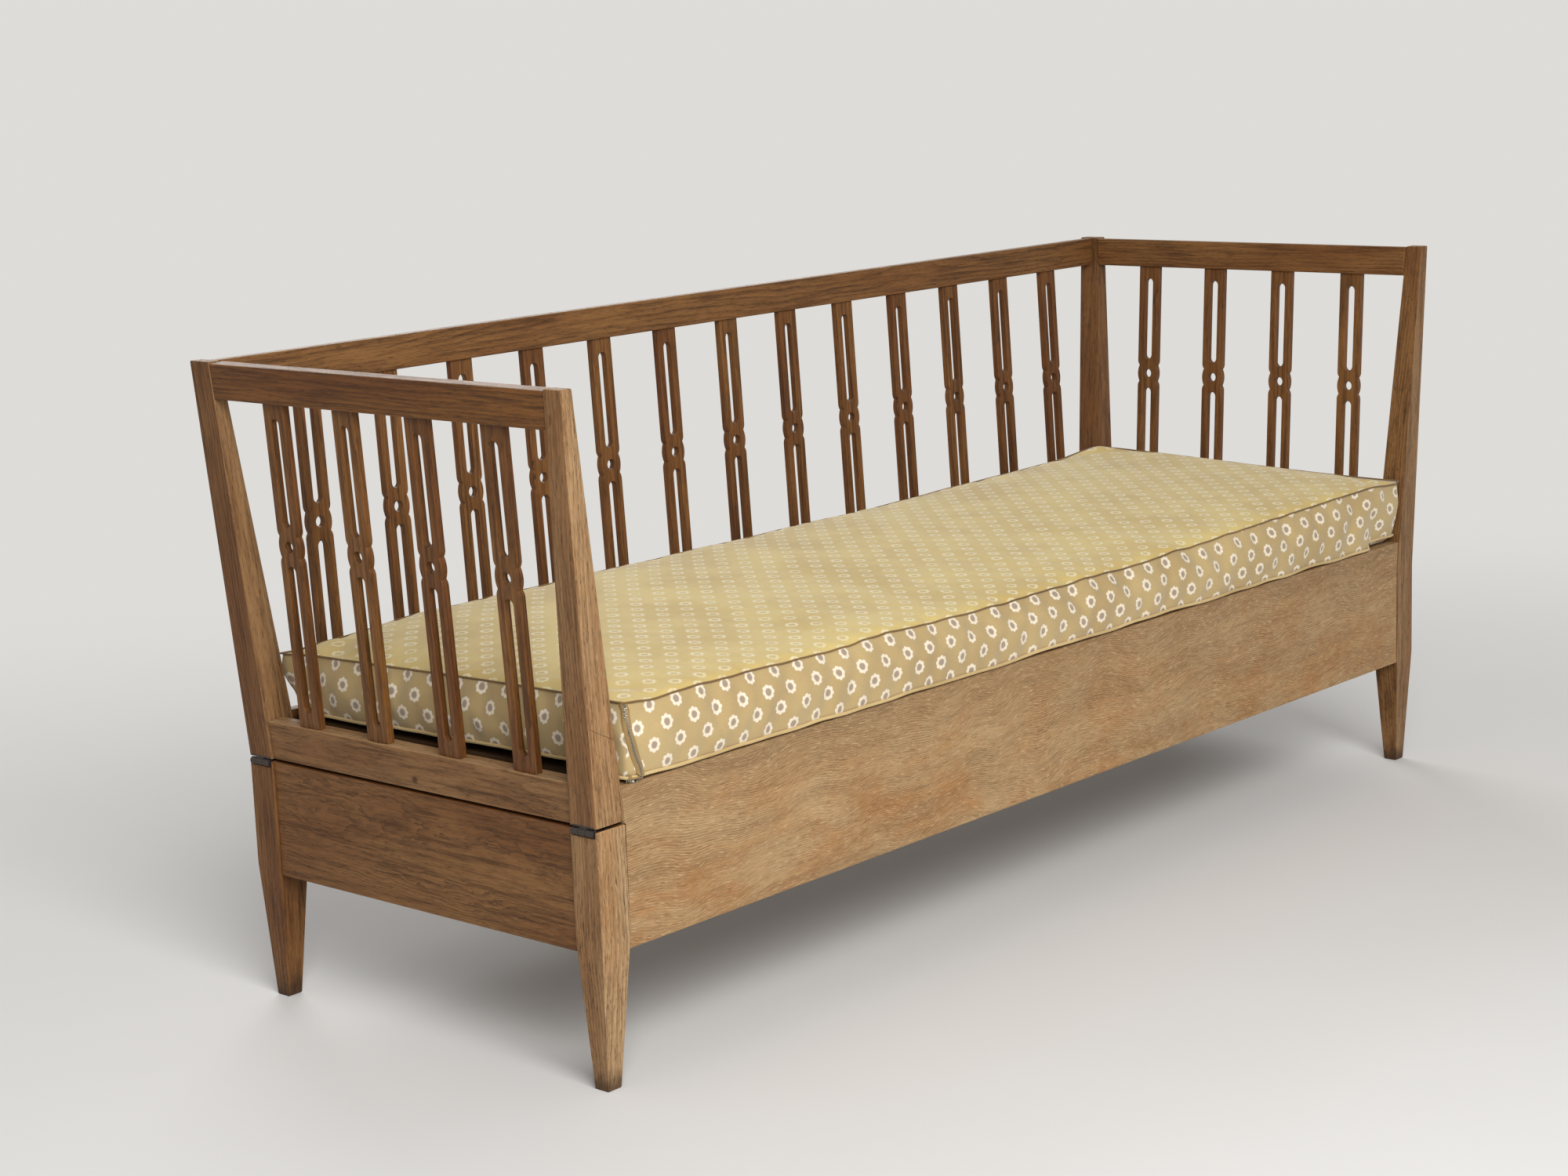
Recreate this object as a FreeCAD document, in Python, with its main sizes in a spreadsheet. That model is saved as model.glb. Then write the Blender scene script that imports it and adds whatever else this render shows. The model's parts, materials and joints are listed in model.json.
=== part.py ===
import FreeCAD, Part
import Sketcher
import math
import os
import re

# Drop-arm sofa in oak: a seat frame on tapered legs, a back and two ends of pierced splats, and a
# boxed seat cushion. The left end is hinged on its legs and drops outwards to lengthen the seat.
# X runs along the sofa, Y from front to back and Z up, from the middle of the floor under it.

doc = FreeCAD.newDocument("drop_arm_sofa")

# Driving dimensions, in millimetres
SIZES = {
    # Overall
    "sofa_length": 1840,
    "sofa_depth": 629,
    "sofa_height": 795,
    "end_flare": 28,
    "back_lean": 24,
    "front_flare": 7,
    "hinge_level": 306,
    "arm_gap": 3.5,
    "arm_clearance": 0.8,
    "overrun": 20,
    # Legs and posts: thickness runs along the sofa, width from front to back
    "post_thickness": 45,
    "post_top_thickness": 18,
    "front_post_width": 41,
    "front_post_top_width": 26,
    "rear_post_width": 42,
    "rear_post_top_width": 35,
    "foot_size": 21,
    "foot_end_inset": 8.5,
    "foot_face_inset": 10,
    "knee_level": 172,
    # Aprons of the seat frame
    "apron_bottom": 160,
    "apron_top": 348,
    "apron_thickness": 22,
    "apron_setback": 1,
    "side_apron_setback": 3,
    "apron_tenon_length": 24,
    "apron_tenon_thickness": 10,
    "apron_tenon_shoulder": 24,
    # Rails of the back and the ends
    "rail_height": 43,
    "rail_thickness": 21,
    "rail_setback": 1,
    "rail_reveal": 1.5,
    "bottom_rail_height": 47,
    "bottom_rail_thickness": 25,
    "bottom_rail_setback": 3,
    "back_bottom_rail_thickness": 19,
    "rail_tenon_length": 13,
    "rail_tenon_thickness": 9,
    "rail_tenon_shoulder": 8,
    # Pierced splats
    "splat_width": 37,
    "splat_thickness": 9.5,
    "splat_setback": 8,
    "splat_tenon_length": 9,
    "splat_tenon_shoulder": 5,
    "back_left_gap": 123,
    "back_right_gap": 103,
    "arm_front_gap": 76,
    "arm_rear_gap": 83,
    "slot_width": 14.5,
    "slot_end_wall": 19,
    "knot_drop": 173,
    "knot_reach": 23.5,
    "knot_hole": 14,
    "notch_offset": 13,
    "notch_run": 8,
    "notch_depth": 3,
    # Slatted seat under the cushion
    "bearer_thickness": 22,
    "bearer_height": 45,
    "bearer_end_gap": 10,
    "slat_width": 64,
    "slat_thickness": 14,
    "slat_end_gap": 12,
    "slat_side_gap": 1.5,
    "bearer_screw_inset": 60,
    "bearer_screw_rise": 8,
    "bearer_screw_length": 36,
    # Hinges of the drop arm
    "hinge_inset": 1,
    "hinge_drop": 4,
    "hinge_length": 34,
    "barrel_radius": 4.4,
    "hinge_pin_radius": 1.8,
    "pin_clearance": 0.15,
    "knuckle_gap": 0.4,
    "leaf_thickness": 2,
    "leaf_reach": 27,
    "hinge_web": 2.6,
    "hinge_screw_length": 22,
    "hinge_screw_spread": 18,
    "hinge_screw_inset": 12,
    # Irons that stop the arm level with the seat
    "iron_width": 18,
    "iron_thickness": 4,
    "iron_tail": 92,
    "iron_top_inset": 5,
    "iron_inset": 92,
    "iron_screw_length": 18,
    "iron_screw_spread": 22,
    # Spring catch that holds the arm up
    "stud_radius": 3,
    "stud_reach": 11,
    "stud_root": 9,
    "jaw_thickness": 1,
    "jaw_height": 14,
    "jaw_length": 14,
    "jaw_clearance": 0.3,
    "catch_screw_length": 16,
    # Countersunk wood screws
    "screw_head_radius": 3.6,
    "screw_shank_radius": 1.9,
    "screw_tip": 5,
    # Seat cushion
    "cushion_end_gap": 4,
    "cushion_back_gap": 9,
    "cushion_height": 93,
    "cushion_crown": 10,
    "cushion_edge_roll": 5,
    "cushion_end_draw": 6,
    "cushion_side_draw": 12,
    "cushion_overhang": 3,
    "cushion_lift": 0.3,
    "cover_thickness": 1.5,
    "crown_slope": 60,
    "crown_top": 180,
}
BACK_SPLATS = 13
ARM_SPLATS = 4
SEAT_SLATS = 13
BEARER_SCREWS = 6
CROWN_SHOULDER_SHARE = 0.7

sheet = doc.addObject("Spreadsheet::Sheet", "sizes")
for row, (alias, value) in enumerate(SIZES.items(), start=1):
    sheet.set(f"A{row}", alias)
    sheet.set(f"B{row}", str(value))
    sheet.setAlias(f"B{row}", alias)
doc.recompute()

# Places and sizes that follow from the driving dimensions
DERIVED = {
    "half_length": "sofa_length / 2 - end_flare",
    "front_face": "front_flare - sofa_depth / 2",
    "back_face": "sofa_depth / 2 - back_lean",
    "leg_top": "hinge_level - arm_gap / 2",
    "arm_base": "hinge_level + arm_gap / 2",
    "rise": "sofa_height - arm_base",
    "end_lean": "atan(end_flare / rise)",
    "back_tilt": "atan(back_lean / rise)",
    "inner_x": "half_length - post_thickness",
    "inner_slope": "(post_thickness - post_top_thickness + end_flare) / rise",
    "inner_x_top": "half_length + end_flare - post_top_thickness",
    "ear_x": "inner_x + inner_slope * (apron_top - arm_base) - arm_clearance",
    # The ends' and the back's own frames: the outer face at the arm's base, leaning with it
    "arm_frame": "placement(vector(-half_length; 0; arm_base); rotation(vector(0; 1; 0); -end_lean))",
    "back_frame": "placement(vector(0; back_face; arm_base); rotation(vector(1; 0; 0); -back_tilt))",
    "rail_top": "rise - rail_reveal",
    "rail_bottom": "rail_top - rail_height",
    "splat_length": "rail_bottom - bottom_rail_height",
    "front_clear_top": "front_post_top_width - sofa_depth / 2",
    "rear_clear_top": "sofa_depth / 2 - rear_post_top_width",
    "back_first": "back_left_gap + splat_width / 2 - inner_x_top",
    "back_last": "inner_x_top - back_right_gap - splat_width / 2",
    "arm_first": "front_clear_top + arm_front_gap + splat_width / 2",
    "arm_last": "rear_clear_top - arm_rear_gap - splat_width / 2",
    "front_tenon_y": "front_clear_top - rail_tenon_length",
    "rear_tenon_y": "rear_clear_top + rail_tenon_length",
    "front_leg_inner": "front_face + front_post_width",
    "rear_leg_inner": "back_face - rear_post_width",
    "front_apron_inner": "front_face + apron_setback + apron_thickness",
    "back_apron_inner": "back_face - apron_setback - apron_thickness",
    "slat_bottom": "apron_top - slat_thickness",
    "slat_front": "front_apron_inner + slat_side_gap",
    "slat_back": "back_apron_inner - slat_side_gap",
    "slat_first": "slat_end_gap - inner_x",
    "axis_x": "hinge_inset - half_length",
    "axis_z": "hinge_level - hinge_drop",
    "front_hinge_y": "front_face + (front_post_width - hinge_length) / 2",
    "rear_hinge_y": "back_face - (rear_post_width + hinge_length) / 2",
    "knuckle_length": "(hinge_length - 2 * knuckle_gap) / 3",
    "iron_face": "bottom_rail_setback + bottom_rail_thickness",
    "catch_rise": "rail_top - rail_height / 2",
    "catch_y": "-rail_setback - rail_thickness / 2",
    "jaw_offset": "stud_radius + jaw_clearance",
    "catch_world_y": "back_face + catch_y * cos(back_tilt) + catch_rise * sin(back_tilt)",
    "catch_world_z": "arm_base + catch_rise * cos(back_tilt) - catch_y * sin(back_tilt)",
    "catch_post_x": "-(inner_x + inner_slope * (catch_world_z - arm_base))",
    "cushion_half": "inner_x - cushion_end_gap",
    "cushion_front": "front_face - cushion_overhang",
    "cushion_back": "back_face - bottom_rail_setback - back_bottom_rail_thickness - cushion_back_gap",
    "cushion_bottom": "apron_top + cushion_lift",
}


def formula(text):
    """The sheet's expression for a formula in plain names."""
    def term(match):
        word = match.group(0)
        if word in SIZES:
            return f"sizes.{word}"
        return f"({formula(DERIVED[word])})" if word in DERIVED else word
    return re.sub(r"[a-z_]+", term, text)


def number(text):
    """A formula's present value."""
    result = sheet.evalExpression(formula(text))
    return float(getattr(result, "Value", result))


def bind(thing, **properties):
    """Ties properties of an object to formulas."""
    for name, text in properties.items():
        thing.setExpression(name, formula(text))


def shift(frame, x, y, z, turn="0"):
    """A placement at a point of a frame, turned about that frame's upright axis."""
    return f"{frame} * placement(vector({x}; {y}; {z}); rotation(vector(0; 0; 1); {turn}))"


WORLD = "placement(vector(0; 0; 0); rotation(vector(0; 0; 1); 0))"


# Building blocks

def block(name, x, y, z, frame=WORLD):
    """A box between pairs of faces in a frame."""
    box = doc.addObject("Part::Box", name)
    bind(box, Length=f"{x[1]} - ({x[0]})", Width=f"{y[1]} - ({y[0]})", Height=f"{z[1]} - ({z[0]})")
    bind(box, Placement=shift(frame, x[0], y[0], z[0]))
    return box


def rod(name, radius, y, x, z):
    """A round rod along Y between two places, about an axis at x and z."""
    cylinder = doc.addObject("Part::Cylinder", name)
    bind(cylinder, Radius=radius, Height=f"{y[1]} - ({y[0]})")
    bind(cylinder, Placement=f"placement(vector({x}; {y[0]}; {z}); rotation(vector(1; 0; 0); -90))")
    return cylinder


def taper(name, levels, low, high):
    """A straight-sided bar between two upright levels, from one rectangle (x0, x1, y0, y1) to another."""
    bar = doc.addObject("Part::Wedge", name)
    bind(bar, Xmin=low[0], Xmax=low[1], X2min=high[0], X2max=high[1], Ymin=levels[0], Ymax=levels[1])
    bind(bar, Zmin=f"-({low[3]})", Zmax=f"-({low[2]})", Z2min=f"-({high[3]})", Z2max=f"-({high[2]})")
    bar.Placement = FreeCAD.Placement(FreeCAD.Vector(), FreeCAD.Rotation(FreeCAD.Vector(1, 0, 0), 90))
    return bar


def fuse(name, pieces):
    """Several pieces joined as one."""
    joined = doc.addObject("Part::MultiFuse", name)
    joined.Shapes = pieces
    joined.Refine = True
    return joined


def group(name, pieces):
    """Several separate solids kept together."""
    bundle = doc.addObject("Part::Compound", name)
    bundle.Links = pieces
    return bundle


def cut(name, base, tools):
    """A piece with others cut out of it."""
    result = doc.addObject("Part::Cut", name)
    result.Base = base
    result.Tool = tools[0] if len(tools) == 1 else group(f"{name}_tools", tools)
    return result


def tenoned(name, blank, ends, tools):
    """A rail cut back to its shoulders, but for a tenon in each post's mortise, and by other tools."""
    shoulders = []
    for index, (post, mortise) in enumerate(ends):
        shoulders.append(cut(f"{name}_shoulder_{index}", post, [mortise]))
    return cut(name, blank, shoulders + tools)


def copied(name, source, placement):
    """A copy of a piece at a placement."""
    duplicate = group(name, [source])
    bind(duplicate, Placement=placement)
    return duplicate


def mirrored(name, source):
    """A piece's mirror image at the other end of the sofa."""
    image = doc.addObject("Part::Mirroring", name)
    image.Source = source
    image.Normal = FreeCAD.Vector(1, 0, 0)
    return image


def sketch_on(body, name, role):
    """A sketch on one of its body's own origin planes."""
    sketch = body.newObject("Sketcher::SketchObject", name)
    plane = next(item for item in body.Origin.OriginFeatures if item.Role == role)
    sketch.AttachmentSupport = [(plane, "")]
    sketch.MapMode = "FlatFace"
    return sketch


def arc_between(start, end, radius, side):
    """A round edge from start to end, bulging to the right of the way (side 1) or to the left (-1)."""
    along = end - start
    half = along.Length / 2
    across = FreeCAD.Vector(along.y, -along.x, 0).normalize()
    bulge = radius - math.sqrt(max(radius * radius - half * half, 0))
    return Part.Arc(start, (start + end) * 0.5 + across * (side * bulge), end)


def loop(sketch, corners, arcs=None):
    """A closed outline through corners; arcs gives some edges, by number, a radius and a side."""
    arcs = arcs or {}
    points = [FreeCAD.Vector(number(x), number(y), 0) for x, y in corners]
    first = sketch.GeometryCount
    ends = []
    for index, start in enumerate(points):
        end = points[(index + 1) % len(points)]
        if index in arcs:
            radius, side = arcs[index]
            edge = sketch.addGeometry(arc_between(start, end, number(radius), side))
            ahead = (sketch.getPoint(edge, 1) - start).Length < (sketch.getPoint(edge, 2) - start).Length
        else:
            edge = sketch.addGeometry(Part.LineSegment(start, end))
            ahead = True
        ends.append((1, 2) if ahead else (2, 1))
    constraints = []
    formulas = []
    for index, (x, y) in enumerate(corners):
        after = (index + 1) % len(corners)
        constraints.append(Sketcher.Constraint(
            "Coincident", first + index, ends[index][1], first + after, ends[after][0]))
        formulas.append(None)
        for kind, text, value in (("DistanceX", x, points[index].x), ("DistanceY", y, points[index].y)):
            constraints.append(Sketcher.Constraint(kind, -1, 1, first + index, ends[index][0], value))
            formulas.append(text)
        if index in arcs:
            constraints.append(Sketcher.Constraint("Radius", first + index, number(arcs[index][0])))
            formulas.append(arcs[index][0])
    start_count = sketch.ConstraintCount
    sketch.addConstraint(constraints)
    for offset, text in enumerate(formulas):
        if text:
            sketch.setExpression(f"Constraints[{start_count + offset}]", formula(text))


def circle(sketch, x, y, radius):
    """A round outline about a centre."""
    centre = FreeCAD.Vector(number(x), number(y), 0)
    edge = sketch.addGeometry(Part.Circle(centre, FreeCAD.Vector(0, 0, 1), number(radius)))
    for kind, text, value in (("DistanceX", x, centre.x), ("DistanceY", y, centre.y)):
        place = sketch.addConstraint(Sketcher.Constraint(kind, -1, 1, edge, 3, value))
        sketch.setExpression(f"Constraints[{place}]", formula(text))
    size = sketch.addConstraint(Sketcher.Constraint("Radius", edge, number(radius)))
    sketch.setExpression(f"Constraints[{size}]", formula(radius))


def padded(name, corners, length, placement):
    """A bar: an outline in its body's XZ plane, drawn out along -Y."""
    body = doc.addObject("PartDesign::Body", name)
    section = sketch_on(body, f"{name}_section", "XZ_Plane")
    loop(section, corners)
    pad = body.newObject("PartDesign::Pad", f"{name}_pad")
    pad.Profile = section
    bind(pad, Length=length)
    bind(body, Placement=placement)
    return body


def screw(name, length, placement):
    """A countersunk wood screw, its flat head at the placement and its point down -Z."""
    body = doc.addObject("PartDesign::Body", name)
    section = sketch_on(body, f"{name}_section", "XZ_Plane")
    loop(section, [("0", "0"), ("screw_head_radius", "0"),
                   ("screw_shank_radius", "screw_shank_radius - screw_head_radius"),
                   ("screw_shank_radius", f"screw_tip - {length}"), ("0", f"-{length}")])
    turned = body.newObject("PartDesign::Revolution", f"{name}_turned")
    turned.Profile = section
    turned.ReferenceAxis = (section, ["V_Axis"])
    turned.Angle = 360
    bind(body, Placement=placement)
    return body


def screw_at(name, length, x, y, z, axis, angle, frame=WORLD):
    """A screw with its head at a point of a frame, turned from pointing down about an axis."""
    turn = f"rotation(vector({axis}); {angle})"
    return screw(name, length, f"{frame} * placement(vector({x}; {y}; {z}); {turn})")


# Pierced splats

def splat(name):
    """A flat upright with two slots, and a pierced knot between two pairs of notches."""
    body = doc.addObject("PartDesign::Body", name)
    face = sketch_on(body, f"{name}_face", "XZ_Plane")
    wide = "splat_width / 2"
    tab = "(splat_width / 2 - splat_tenon_shoulder)"
    waist = "(splat_width / 2 - notch_depth)"
    knot = "(splat_length - knot_drop)"
    low_run = f"{knot} - notch_offset - notch_run"
    low_notch = f"{knot} - notch_offset"
    high_notch = f"{knot} + notch_offset"
    high_run = f"{knot} + notch_offset + notch_run"
    side = [(tab, "-splat_tenon_length"), (tab, "0"), (wide, "0"), (wide, low_run), (waist, low_notch),
            (waist, high_notch), (wide, high_run), (wide, "splat_length"), (tab, "splat_length"),
            (tab, "splat_length + splat_tenon_length")]
    other = [(f"-{x}", z) for x, z in reversed(side)]
    run_radius = "(notch_run * notch_run + notch_depth * notch_depth) / (2 * notch_depth)"
    knot_radius = "(notch_offset * notch_offset + notch_depth * notch_depth) / (2 * notch_depth)"
    rounds = {3: run_radius, 4: knot_radius, 5: run_radius}
    arcs = {edge: (radius, 1) for edge, radius in rounds.items()}
    mirror_edge = len(side) + len(other) - 2
    arcs.update({mirror_edge - edge: (radius, 1) for edge, radius in rounds.items()})
    loop(face, side + other, arcs)
    half = "slot_width / 2"
    spans = [("slot_end_wall", f"{knot} - knot_reach"),
             (f"{knot} + knot_reach", "splat_length - slot_end_wall")]
    for low, high in spans:
        low_turn = f"{low} + slot_width / 2"
        high_turn = f"{high} - slot_width / 2"
        loop(face, [(half, low_turn), (half, high_turn), ("0", high), (f"-{half}", high_turn),
                    (f"-{half}", low_turn), ("0", low)],
             {1: (half, 1), 2: (half, 1), 4: (half, 1), 5: (half, 1)})
    circle(face, "0", knot, "knot_hole / 2")
    pad = body.newObject("PartDesign::Pad", f"{name}_pad")
    pad.Profile = face
    bind(pad, Length="splat_thickness")
    return body


def spread(first, last, count):
    """Evenly spaced places from first to last."""
    return [f"{first} + {index} * ({last} - ({first})) / {count - 1}" for index in range(count)]


splat_pattern = splat("splat_pattern")
back_places = spread("back_first", "back_last", BACK_SPLATS)
back_splats = [
    copied(f"back_splat_{index:02d}", splat_pattern,
           shift("back_frame", x, "-splat_setback", "bottom_rail_height"))
    for index, x in enumerate(back_places, start=1)]
arm_places = spread("arm_first", "arm_last", ARM_SPLATS)
arm_splats = [
    copied(f"arm_splat_{index}", splat_pattern,
           shift("arm_frame", "splat_setback", y, "bottom_rail_height", "90"))
    for index, y in enumerate(arm_places, start=1)]
right_splats = [
    mirrored(f"right_splat_{index}", piece) for index, piece in enumerate(arm_splats, start=1)]


# Legs and posts

def ends(outer, thickness, side):
    """A span along the sofa, measured in from an outer face at the left (-1) or right (1) end."""
    inner = f"{outer} - {thickness}"
    return (f"-({outer})", f"-({inner})") if side < 0 else (inner, outer)


def depths(outer, width, row):
    """A span from front to back, measured in from the front (-1) or the back (1) face."""
    return (outer, f"{outer} + {width}") if row < 0 else (f"{outer} - {width}", outer)


def foot_section(side, row):
    """A foot's rectangle on the floor."""
    face = "front_face + foot_face_inset" if row < 0 else "back_face - foot_face_inset"
    return ends("half_length - foot_end_inset", "foot_size", side) + depths(face, "foot_size", row)


def seat_section(side, row):
    """A post's rectangle at the seat frame."""
    face, width = ("front_face", "front_post_width") if row < 0 else ("back_face", "rear_post_width")
    return ends("half_length", "post_thickness", side) + depths(face, width, row)


def top_section(side, row):
    """A post's rectangle at its top."""
    face = "-sofa_depth / 2" if row < 0 else "sofa_depth / 2"
    width = "front_post_top_width" if row < 0 else "rear_post_top_width"
    return ends("half_length + end_flare", "post_top_thickness", side) + depths(face, width, row)


def leg_blank(name, side, row, top):
    """A tapered leg with a straight upper part, up to a level."""
    foot, seat = foot_section(side, row), seat_section(side, row)
    lower = taper(f"{name}_lower", ("0", "knee_level"), foot, seat)
    return [lower, taper(f"{name}_upper", ("knee_level", top), seat, seat)]


def post_blank(name, side, row):
    """The flared upper part of a post."""
    return taper(name, ("arm_base", "sofa_height"), seat_section(side, row), top_section(side, row))


def widened(section):
    """A left post's rectangle widened into the seat, for cutting rails that are thicker than the post."""
    return section[0], f"{section[1]} + overrun", section[2], section[3]


front_left_blank = fuse("front_left_blank", leg_blank("front_left", -1, -1, "leg_top"))
rear_left_blank = fuse("rear_left_blank", leg_blank("rear_left", -1, 1, "leg_top"))
front_right_blank = fuse("front_right_blank", leg_blank("front_right", 1, -1, "arm_base")
                         + [post_blank("front_right_flare", 1, -1)])
rear_right_blank = fuse("rear_right_blank", leg_blank("rear_right", 1, 1, "arm_base")
                        + [post_blank("rear_right_flare", 1, 1)])
arm_front_blank = post_blank("arm_front_blank", -1, -1)
arm_rear_blank = post_blank("arm_rear_blank", -1, 1)
arm_front_wide, arm_rear_wide = [
    taper(name, ("arm_base", "sofa_height"), widened(seat_section(-1, row)), widened(top_section(-1, row)))
    for name, row in (("arm_front_wide", -1), ("arm_rear_wide", 1))]

# Mortises for the tenons of the rails: each box runs out past the post's inner face
top_tenon_n = ("rail_setback + (rail_thickness - rail_tenon_thickness) / 2",
               "rail_setback + (rail_thickness + rail_tenon_thickness) / 2")
top_tenon_w = ("rail_bottom + rail_tenon_shoulder", "rail_top - rail_tenon_shoulder")
bottom_tenon_n = ("bottom_rail_setback + (bottom_rail_thickness - rail_tenon_thickness) / 2",
                  "bottom_rail_setback + (bottom_rail_thickness + rail_tenon_thickness) / 2")
bottom_tenon_w = ("rail_tenon_shoulder", "bottom_rail_height - rail_tenon_shoulder")
low_front_y = "front_leg_inner - rail_tenon_length"
low_rear_y = "rear_leg_inner + rail_tenon_length"
arm_front_mortises = [
    block("arm_top_front_mortise", top_tenon_n, ("front_tenon_y", "front_leg_inner + overrun"),
          top_tenon_w, "arm_frame"),
    block("arm_bottom_front_mortise", bottom_tenon_n, (low_front_y, "front_leg_inner + overrun"),
          bottom_tenon_w, "arm_frame")]
arm_rear_mortises = [
    block("arm_top_rear_mortise", top_tenon_n, ("rear_leg_inner - overrun", "rear_tenon_y"),
          top_tenon_w, "arm_frame"),
    block("arm_bottom_rear_mortise", bottom_tenon_n, ("rear_leg_inner - overrun", low_rear_y),
          bottom_tenon_w, "arm_frame")]
right_front_mortises = [
    mirrored(f"right_front_mortise_{i}", box) for i, box in enumerate(arm_front_mortises)]
right_rear_mortises = [
    mirrored(f"right_rear_mortise_{i}", box) for i, box in enumerate(arm_rear_mortises)]
top_tenon_y = tuple(f"-({n})" for n in reversed(top_tenon_n))
back_low_middle = "bottom_rail_setback + back_bottom_rail_thickness / 2"
back_bottom_tenon_y = (f"-({back_low_middle}) - rail_tenon_thickness / 2",
                       f"-({back_low_middle}) + rail_tenon_thickness / 2")
back_top_end = "inner_x_top + rail_tenon_length"
back_bottom_end = "inner_x + rail_tenon_length"
back_mortises = [
    block("back_top_mortise", ("inner_x - overrun", back_top_end), top_tenon_y, top_tenon_w, "back_frame"),
    block("back_bottom_mortise", ("inner_x - overrun", back_bottom_end), back_bottom_tenon_y,
          bottom_tenon_w, "back_frame")]

# Mortises for the tenons of the aprons
apron_tenon_z = ("apron_bottom + apron_tenon_shoulder", "leg_top - apron_tenon_shoulder")
front_apron_y = ("front_face + apron_setback", "front_apron_inner")
back_apron_y = ("back_apron_inner", "back_face - apron_setback")
apron_tenon_x = "(inner_x + apron_tenon_length)"
side_apron_x = "(half_length - side_apron_setback - apron_thickness)"
left_apron_x = ("side_apron_setback - half_length", f"-{side_apron_x}")
right_apron_x = (side_apron_x, "half_length - side_apron_setback")
side_apron_y = ("front_leg_inner - apron_tenon_length", "rear_leg_inner + apron_tenon_length")


def tenon_span(faces):
    """The middle of a board's thickness, as wide as the aprons' tenons."""
    middle = f"(({faces[0]}) + ({faces[1]})) / 2"
    return f"{middle} - apron_tenon_thickness / 2", f"{middle} + apron_tenon_thickness / 2"


left_end = (f"-{apron_tenon_x}", "overrun - inner_x")
right_end = ("inner_x - overrun", apron_tenon_x)
front_end = (side_apron_y[0], "front_leg_inner + overrun")
rear_end = ("rear_leg_inner - overrun", side_apron_y[1])


def apron_mortises(name, x_end, y_faces, side_faces, y_end):
    """The two mortises in one leg: for the long apron and for the apron at the end."""
    return [block(f"{name}_long_mortise", x_end, tenon_span(y_faces), apron_tenon_z),
            block(f"{name}_side_mortise", tenon_span(side_faces), y_end, apron_tenon_z)]


front_left_mortises = apron_mortises("front_left", left_end, front_apron_y, left_apron_x, front_end)
rear_left_mortises = apron_mortises("rear_left", left_end, back_apron_y, left_apron_x, rear_end)
front_right_mortises = apron_mortises("front_right", right_end, front_apron_y, right_apron_x, front_end)
rear_right_mortises = apron_mortises("rear_right", right_end, back_apron_y, right_apron_x, rear_end)


# Hinges: a leaf let into the leg's top, a leaf let into the arm's post, and their pin

def hinge(name, start, middle):
    """One hinge from a place along Y, with its screws at two places about the leg's middle."""
    knuckles = [(f"{start} + {step} * (knuckle_length + knuckle_gap)",
                 f"{start} + {step} * (knuckle_length + knuckle_gap) + knuckle_length") for step in range(3)]
    whole = (start, f"{start} + hinge_length")
    inner = ("axis_x + barrel_radius + knuckle_gap", "axis_x + leaf_reach")
    leg_plate_z = ("leg_top - leaf_thickness", "leg_top")
    arm_plate_z = ("arm_base", "arm_base + leaf_thickness")
    leg_parts = [block(f"{name}_leg_plate", inner, whole, leg_plate_z)]
    for step in (0, 2):
        leg_parts.append(rod(f"{name}_leg_knuckle_{step}", "barrel_radius", knuckles[step],
                             "axis_x", "axis_z"))
        leg_parts.append(block(f"{name}_leg_tab_{step}", ("axis_x", "axis_x + leaf_reach"),
                               knuckles[step], leg_plate_z))
    web_x = ("axis_x - hinge_web / 2", "axis_x + hinge_web / 2")
    arm_parts = [
        block(f"{name}_arm_plate", (web_x[0], "axis_x + leaf_reach"), whole, arm_plate_z),
        block(f"{name}_arm_web", web_x, knuckles[1], ("axis_z", "arm_base + leaf_thickness")),
        rod(f"{name}_arm_knuckle", "barrel_radius", knuckles[1], "axis_x", "axis_z")]
    pin = rod(f"{name}_pin", "hinge_pin_radius", whole, "axis_x", "axis_z")
    bore = rod(f"{name}_bore", "hinge_pin_radius + pin_clearance",
               (f"{start} - overrun", f"{start} + hinge_length + overrun"), "axis_x", "axis_z")
    across = "axis_x + leaf_reach - hinge_screw_inset"
    places = [f"{middle} - hinge_screw_spread / 2", f"{middle} + hinge_screw_spread / 2"]
    leg_screws = [
        screw_at(f"{name}_leg_screw_{i}", "hinge_screw_length", across, y, "leg_top", "1; 0; 0", "0")
        for i, y in enumerate(places)]
    arm_screws = [
        screw_at(f"{name}_arm_screw_{i}", "hinge_screw_length", across, y, "arm_base", "1; 0; 0", "180")
        for i, y in enumerate(places)]
    leg_leaf = cut(f"{name}_leg_leaf", fuse(f"{name}_leg_forged", leg_parts), [bore] + leg_screws)
    arm_leaf = cut(f"{name}_arm_leaf", fuse(f"{name}_arm_forged", arm_parts), [bore] + arm_screws)
    housing = block(f"{name}_housing",
                    ("-half_length - overrun", "axis_x + barrel_radius + knuckle_gap"),
                    (f"{start} - knuckle_gap", f"{start} + hinge_length + knuckle_gap"),
                    ("axis_z - barrel_radius - knuckle_gap", "leg_top + overrun"))
    return {"leg_leaf": leg_leaf, "arm_leaf": arm_leaf, "pin": pin, "housing": housing,
            "leg_screws": leg_screws, "arm_screws": arm_screws,
            "leg_plate": leg_parts[0], "arm_plate": arm_parts[0]}


front_hinge = hinge("front_hinge", "front_hinge_y", "front_face + front_post_width / 2")
rear_hinge = hinge("rear_hinge", "rear_hinge_y", "back_face - rear_post_width / 2")
hinge_leg_screws = group("hinge_leg_screws", front_hinge["leg_screws"] + rear_hinge["leg_screws"])
hinge_arm_screws = group("hinge_arm_screws", front_hinge["arm_screws"] + rear_hinge["arm_screws"])

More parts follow.
